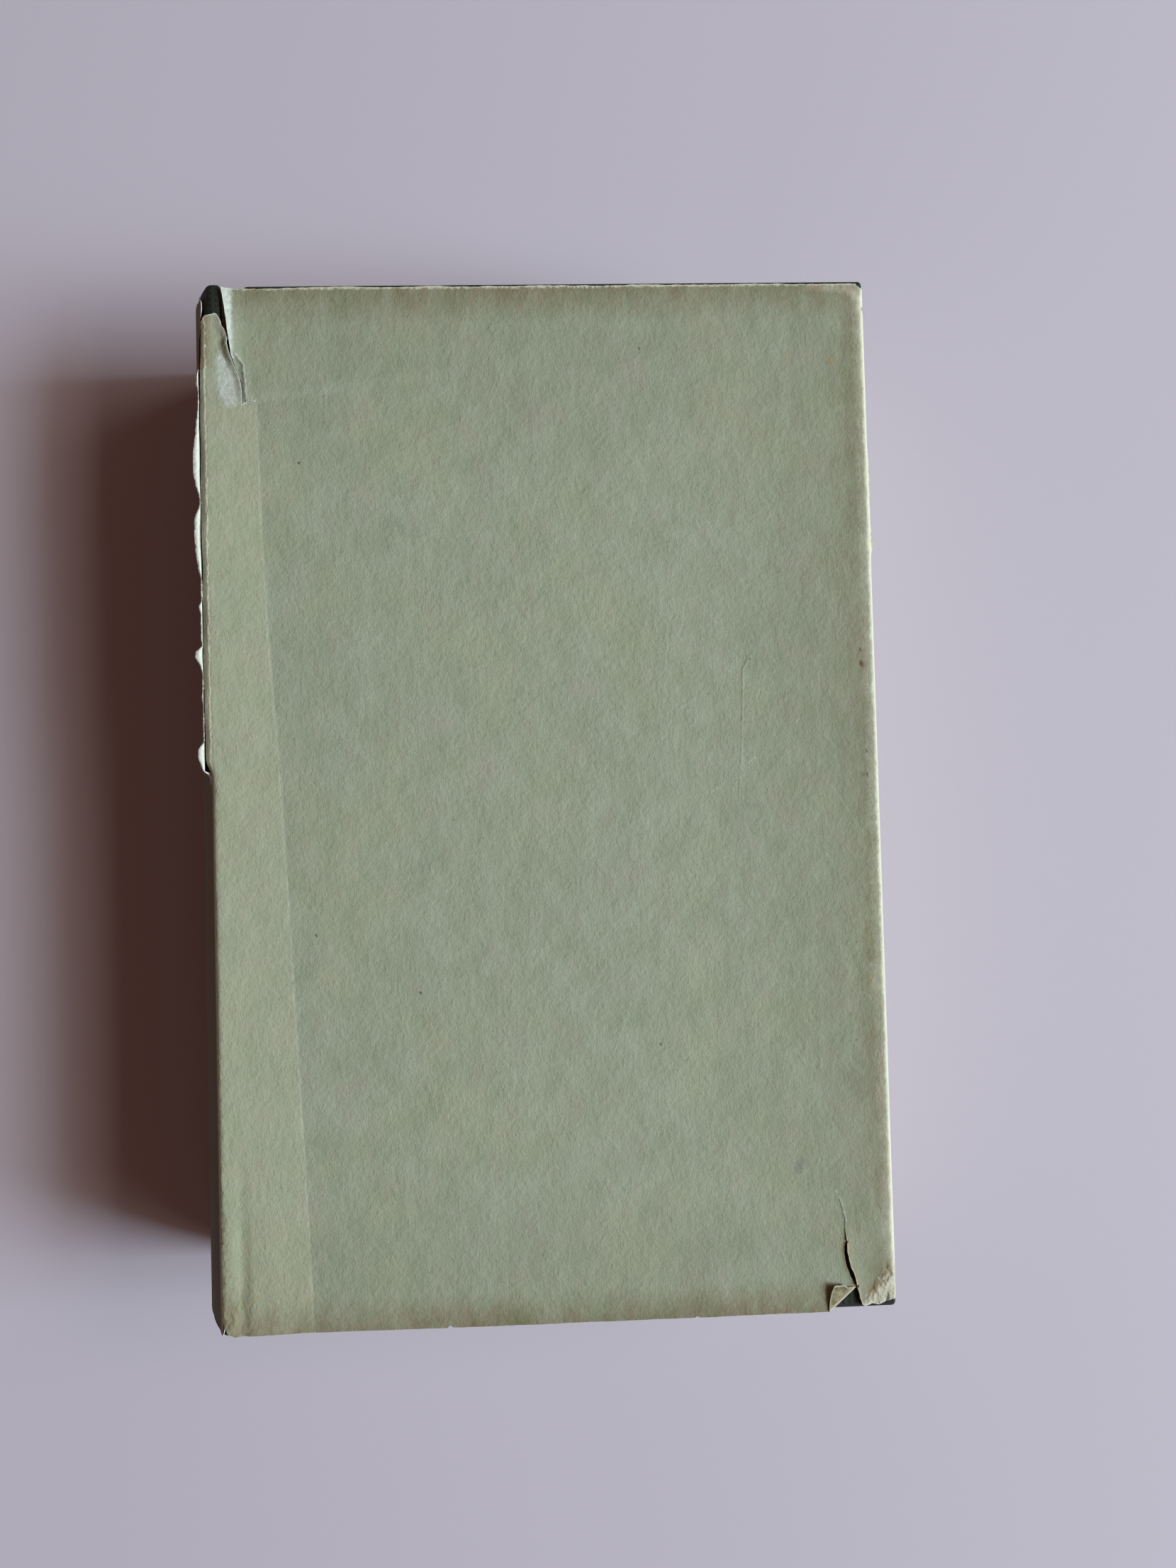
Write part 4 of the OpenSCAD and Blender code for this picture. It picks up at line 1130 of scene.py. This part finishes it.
def caseRing(case, section, front, inset, dip, inside):
    # One ring from the spine's head along the head, the fore-edge and the tail back to the spine
    core, thick = section["core"], 2 * case["edge"]
    depth = core - dip if inside else np.full(len(core), float(dip))
    depth = np.where(core < thick, core * (1 - dip / thick if inside else depth / thick), depth)
    corner = max(0.9, inset)
    reach = section["to"] - corner - section["from"]
    u = np.where(section["share"] > 0, section["from"] + section["share"] * reach, section["u"])
    x = onPath(section["path"], u, "x") + np.cos(section["normal"]) * depth
    z = onPath(section["path"], u, "z") + np.sin(section["normal"]) * depth
    level = coverHeight(core[-1] - dip if inside else dip, front)
    foreX, high, low = clothHigh[0], clothHigh[1], clothLow[1]
    bend, turns = corner - inset, np.linspace(0, math.pi / 2, 5)[1:]
    ring = [(x[i], high - inset, z[i]) for i in range(len(u))]
    ring += [(foreX - corner + bend * math.sin(a), high - corner + bend * math.cos(a), level) for a in turns]
    ring += [(foreX - inset, y, level) for y in np.linspace(high - corner, low + corner, 40)[1:]]
    ring += [(foreX - corner + bend * math.cos(a), low + corner - bend * math.sin(a), level) for a in turns]
    return ring + [(x[i], low + inset, z[i]) for i in range(len(u) - 2, -1, -1)]


def caseHalf(side):
    # One half of the case cloth, turned in at head, fore-edge and tail. side is 1 at the front.
    # Its rings run from the flat outside, round the edge and back over the turn-in.
    case = {"thick": 0.35, "edge": 0.7, "turnIn": 15.0, "spineCore": 0.9, "boardCore": 3.3, "jacket": 0.22,
            "roundX": 7.35, "shoulderX": -66.9, "grooveWall": -64.55, "grooveFloor": 3.2, "wallFoot": 2.4,
            "soft": 1.5}
    front = side > 0
    section = caseSection(case, front)
    r, quarter = case["edge"], np.linspace(0, math.pi / 2, 6)
    rings = [(20, 0, 0), (8, 0, 0), (2.5, 0, 0)]
    rings += [(r - r * math.sin(a), r - r * math.cos(a), 0) for a in quarter]
    rings += [(r - r * math.cos(a), r - r * math.sin(a), 1) for a in quarter]
    rings += [(3, 0, 1), (8, 0, 1), (case["turnIn"], 0, 1)]
    points = [point for ring in rings for point in caseRing(case, section, front, *ring)]
    count, n = len(points) // len(rings), len(section["u"])
    faces = [((k + 1) * count + i, (k + 1) * count + i + 1, k * count + i + 1, k * count + i)
             for k in range(len(rings) - 1) for i in range(count - 1)]

    # the flat outside between the first ring's two long sides, and its fore-edge side
    high, low = clothHigh[1], clothLow[1]
    middle = np.linspace(high - rings[0][0], low + rings[0][0], 30)[1:-1]
    start = len(points)
    points += [(p[0], y, p[2]) for y in middle for p in points[:n]]
    rows = [list(range(n))] + [list(range(start + k * n, start + (k + 1) * n)) for k in range(len(middle))]
    rows += [[count - 1 - i for i in range(n)]]
    for a, b in zip(rows[:-1], rows[1:]):
        faces += [(a[i], a[i + 1], b[i + 1], b[i]) for i in range(n - 1)]
    flat = [(px + pz * 0.5, py + pz * 0.3, 0) for px, py, pz in points]
    points = np.array(points)
    stitched = stitch(points, list(range(n - 1, count - n + 1)), [row[-1] for row in rows])
    upward = faceNormals(points, stitched)[:, 2] > 0
    stitched[upward] = stitched[upward][:, ::-1]
    quads = np.array(faces)
    triangles = np.concatenate([quads[:, [0, 1, 2]], quads[:, [0, 2, 3]], stitched])
    triangles = triangles[np.linalg.norm(faceNormals(points, triangles), axis=1) > 1e-7]
    triangles = facingOut(points, triangles, front)
    name = "caseClothFront" if front else "caseClothBack"
    piece = makeSheet(name, points, triangles, case["thick"], [cloth, cloth, cloth], {"flat": np.array(flat)})
    for vertex in piece.data.vertices:
        vertex.co.y = min(max(vertex.co.y, low * mm), high * mm)
    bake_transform(piece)
    return piece


def facingOut(points, triangles, upward):
    # Gives connected triangles one side, with the level faces at the outside up or down
    shell = bmesh.new()
    verts = [shell.verts.new(p) for p in points]
    for triangle in triangles.tolist():
        shell.faces.new([verts[i] for i in triangle])
    bmesh.ops.recalc_face_normals(shell, faces=shell.faces)
    shell.verts.index_update()
    out = np.array([[v.index for v in face.verts] for face in shell.faces])
    shell.free()
    height = points[out].mean(axis=1)[:, 2]
    outermost = np.argmax(height if upward else -height)
    if (faceNormals(points, out)[outermost, 2] > 0) != upward:
        out = out[:, ::-1]
    return out


def stitch(points, first, second):
    # Triangles between two lines of vertices that share their ends
    out = []
    i = j = 0
    while i < len(first) - 1 or j < len(second) - 1:
        nextFirst = np.linalg.norm(points[first[min(i + 1, len(first) - 1)]] - points[second[j]])
        nextSecond = np.linalg.norm(points[second[min(j + 1, len(second) - 1)]] - points[first[i]])
        if j == len(second) - 1 or (i < len(first) - 1 and nextFirst <= nextSecond):
            out.append((first[i], second[j], first[i + 1]))
            i += 1
        else:
            out.append((first[i], second[j], second[j + 1]))
            j += 1
    return np.array([f for f in out if len(set(f)) == 3])


frontCase = caseHalf(1)
backCase = caseHalf(-1)
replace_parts(frontCase, "front_cloth", "spine_cloth")
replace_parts(backCase, "back_cloth")
print("case made")


# Endpapers and mull

def endpaper(side):
    # One folded sheet: the free leaf, the fold up the shoulder and the pasted leaf on the board
    sheet = {"thick": 0.13, "soft": 0.9, "turnIn": 11.5, "sunk": 0.33, "ease": 1.2}
    front = side > 0

    def level(z):  # the shoulders lie about the spine's own middle, the rest about the boards'
        return z if front else 2 * book["midZ"] - z if z > 48 else book["top"] - z

    face = flyLow[2] + 0.15
    paste = pasteLow[2]
    wall = book["hingeX"]
    shoulder = flyHigh[2] - 0.4
    path = [(flyHigh[0], face), (wall + 1.9, face), (wall + 0.35, face + 1.6), (wall + 0.2, shoulder),
            (wall + 0.5, shoulder), (wall + 0.75, face + 1.8), (wall + 2.2, face + 0.2),
            (book["boardEdge"] - 1.2, face + 0.25), (book["boardEdge"] + 0.3, paste), (pasteHigh[0], paste)]
    laid = layPath([(x, level(z)) for x, z in path], sheet["soft"])
    free = flyHigh[0] - wall - 3
    total = laid["u"][-1]
    joint = free + 24
    uValues = np.concatenate([np.linspace(0, free, 30), np.arange(free + 0.4, joint, 0.4),
                              np.linspace(joint + 0.4, total, 50)])
    yValues = np.linspace(pasteLow[1], pasteHigh[1], 60)
    points, faces, flat = sweptGrid(laid, uValues, yValues)
    # the pasted leaf sinks where no turn-in is under it
    y, x = points[:, 1], points[:, 0]
    pasted = smoothStep((flat[:, 0] - joint) / 2)
    sunk = 1
    for inside in (pasteHigh[0] - x, pasteHigh[1] - y, y - pasteLow[1]):
        sunk = sunk * smoothStep((inside - sheet["turnIn"]) / sheet["ease"])
    points[:, 2] += side * sheet["sunk"] * pasted * sunk
    if front:
        faces = faces[:, ::-1]
    piece = makeSheet("endpaperFront" if front else "endpaperBack", points, faces[:, ::-1], sheet["thick"],
                      [endPaper, endPaper, endPaper], {"flat": flat})
    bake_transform(piece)
    return piece


def mullStrip(side):
    # Gauze from the crown of the leaves over the shoulder, across the groove and on to the board
    front = side > 0

    def level(x, z):  # the spine and its shoulders lie about their own middle, the rest about the boards'
        return z if front else 2 * book["midZ"] - z if x < book["hingeX"] + 0.9 else book["top"] - z

    shoulder = mullHigh[2]
    arc = arcPoints(leafLow[0] + 5.4, shoulder - 0.15 - book["midZ"], leafLow[0] - 0.15, book["midZ"], 1)
    path = arc + [(book["hingeX"] - 0.3, shoulder - 0.1), (book["hingeX"] + 0.55, shoulder - 0.1),
                  (book["hingeX"] + 1.0, leafHigh[2] - 1.8), (book["hingeX"] + 2.4, flyLow[2] + 0.55),
                  (book["boardEdge"] - 1, flyLow[2] + 0.6), (book["boardEdge"] + 0.4, flangeLow[2] + 0.1),
                  (flangeHigh[0], flangeLow[2] + 0.1)]
    laid = layPath([(x, level(x, z)) for x, z in path], 0.9)
    uValues = np.concatenate([np.arange(0, 24, 1.6), np.arange(24, 38, 0.35),
                              np.arange(38.4, laid["u"][-1], 1.5)])
    points, faces, flat = sweptGrid(laid, uValues, np.linspace(mullLow[1], mullHigh[1], 40))
    if front:
        faces = faces[:, ::-1]
    piece = makeSheet("mullFront" if front else "mullBack", points, faces[:, ::-1], 0.1,
                      [mullCloth, mullCloth, mullCloth], {"flat": flat})
    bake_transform(piece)
    return piece


mullCloth = gauze()
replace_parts(endpaper(1), "front_flyleaf", "front_pastedown")
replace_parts(endpaper(-1), "back_flyleaf", "back_pastedown")
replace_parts(mullStrip(1), "spine_mull", "front_mull_flange")
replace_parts(mullStrip(-1), "back_mull_flange")
print("endpapers and mull made")


# The leaves

def leafSide(leaves, share, place, shift):
    # One face of a leaf across the book, as (x, z) points from the round of the spine to the
    # hollow fore-edge. share is its height in the block and place its height in its section.
    bottom, top, middle = book["top"] - flyLow[2], flyLow[2], book["midZ"]
    halfSpine = (leafHigh[2] - leafLow[2]) / 2
    flatZ = bottom + share * (top - bottom)
    spineZ = middle - halfSpine + 0.02 + share * (2 * halfSpine - 0.04)
    off = (spineZ - middle) / halfSpine
    bow = leaves["bow"]
    spineX = leafLow[0] + (leaves["shoulderX"] - leafLow[0]) * (
        1 - math.sqrt(max(0, 1 - bow * off ** 2))) / (1 - math.sqrt(1 - bow))
    spineX = min(spineX, leaves["shoulderX"]) + leaves["furrow"] * (2 * place - 1) ** 4
    foreR = (leaves["hollow"] ** 2 + ((top - bottom) / 2) ** 2) / (2 * leaves["hollow"])
    foreX = leafHigh[0] - leaves["hollow"] + foreR + min(0, shift) * leaves["foreWobble"]
    foreX -= math.sqrt(max(0, foreR ** 2 - (flatZ - (top + bottom) / 2) ** 2))
    line = [(spineX, spineZ), ((spineX + book["hingeX"]) / 2, spineZ)]
    for step in leaves["across"]:
        settled = float(smoothStep(step / (1.9 + 5 * (1 - abs(off)))))
        line.append((book["hingeX"] + step, spineZ + (flatZ - spineZ) * settled))
    return line + [(0.0, flatZ), (foreX, flatZ)]


def leafBlock():
    # Sewn leaves, each a thin slab that runs from the round of the spine to the hollow fore-edge
    leaves = {"count": 250, "sections": 20, "hollow": 5.5, "fill": 0.93, "wobble": 0.1, "sectionWobble": 0.16,
              "foreWobble": 1.4, "endWobble": 0.6, "shoulderX": -66.8, "bow": 0.62, "furrow": 0.25,
              "across": [0, 0.35, 0.8, 1.2, 1.5, 1.75, 2.0, 2.5, 4, 9]}
    rng = np.random.default_rng(17)
    perSection = leaves["count"] / leaves["sections"]
    offsets = rng.normal(0, leaves["sectionWobble"], (leaves["sections"], 3))
    points, faces = [], []
    for i in range(leaves["count"]):
        shift = offsets[i * leaves["sections"] // leaves["count"]] + rng.normal(0, leaves["wobble"], 3)
        pair = [leafSide(leaves, (i + fill) / leaves["count"], (i % perSection) / perSection, shift[0])
                for fill in (0, leaves["fill"])]
        start = len(points)
        tail = leafLow[1] + max(0, shift[1]) * leaves["endWobble"]
        head = leafHigh[1] - max(0, shift[2]) * leaves["endWobble"]
        for line in pair:
            for y in (tail, head):
                points += [(x, y, z) for x, z in line]
        n = len(pair[0])
        lowTail, lowHead, highTail, highHead = (start + k * n for k in range(4))
        for k in range(n - 1):
            faces += [(lowTail + k, lowHead + k, lowHead + k + 1, lowTail + k + 1),
                      (highTail + k, highTail + k + 1, highHead + k + 1, highHead + k),
                      (lowTail + k, lowTail + k + 1, highTail + k + 1, highTail + k),
                      (lowHead + k, highHead + k, highHead + k + 1, lowHead + k + 1)]
        faces += [(lowTail, highTail, highHead, lowHead),
                  (lowTail + n - 1, lowHead + n - 1, highHead + n - 1, highTail + n - 1)]
    piece = makeMesh("leaves", points, faces, [leafPaper], sharp=30)
    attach(piece, "text_block")
    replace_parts(piece, "text_block")
    print("  leaves:", leaves["count"], "slabs")


leafBlock()


# The pieces that keep their CAD form

kept = {
    "front_board": solidMaterial("greyMillboard", "8b8578", "6f6a5f", 1.2, (1, 1, 0.4), 0.1),
    "spine_stiffener": solidMaterial("brownCardStiffener", "a58c66", "8c7552", 1.0, (0.4, 1, 1), 0.05),
    "spine_lining": solidMaterial("kraftLining", "a8885c", "8e7048", 0.8, (1, 0.3, 1), 0.04),
    "head_band": bandSilk(),
}
kept["back_board"] = kept["front_board"]
kept["tail_band"] = kept["head_band"]
for name, material in kept.items():
    frame["nodes"][name].data.materials.clear()
    frame["nodes"][name].data.materials.append(material)
print("kept nodes dressed")
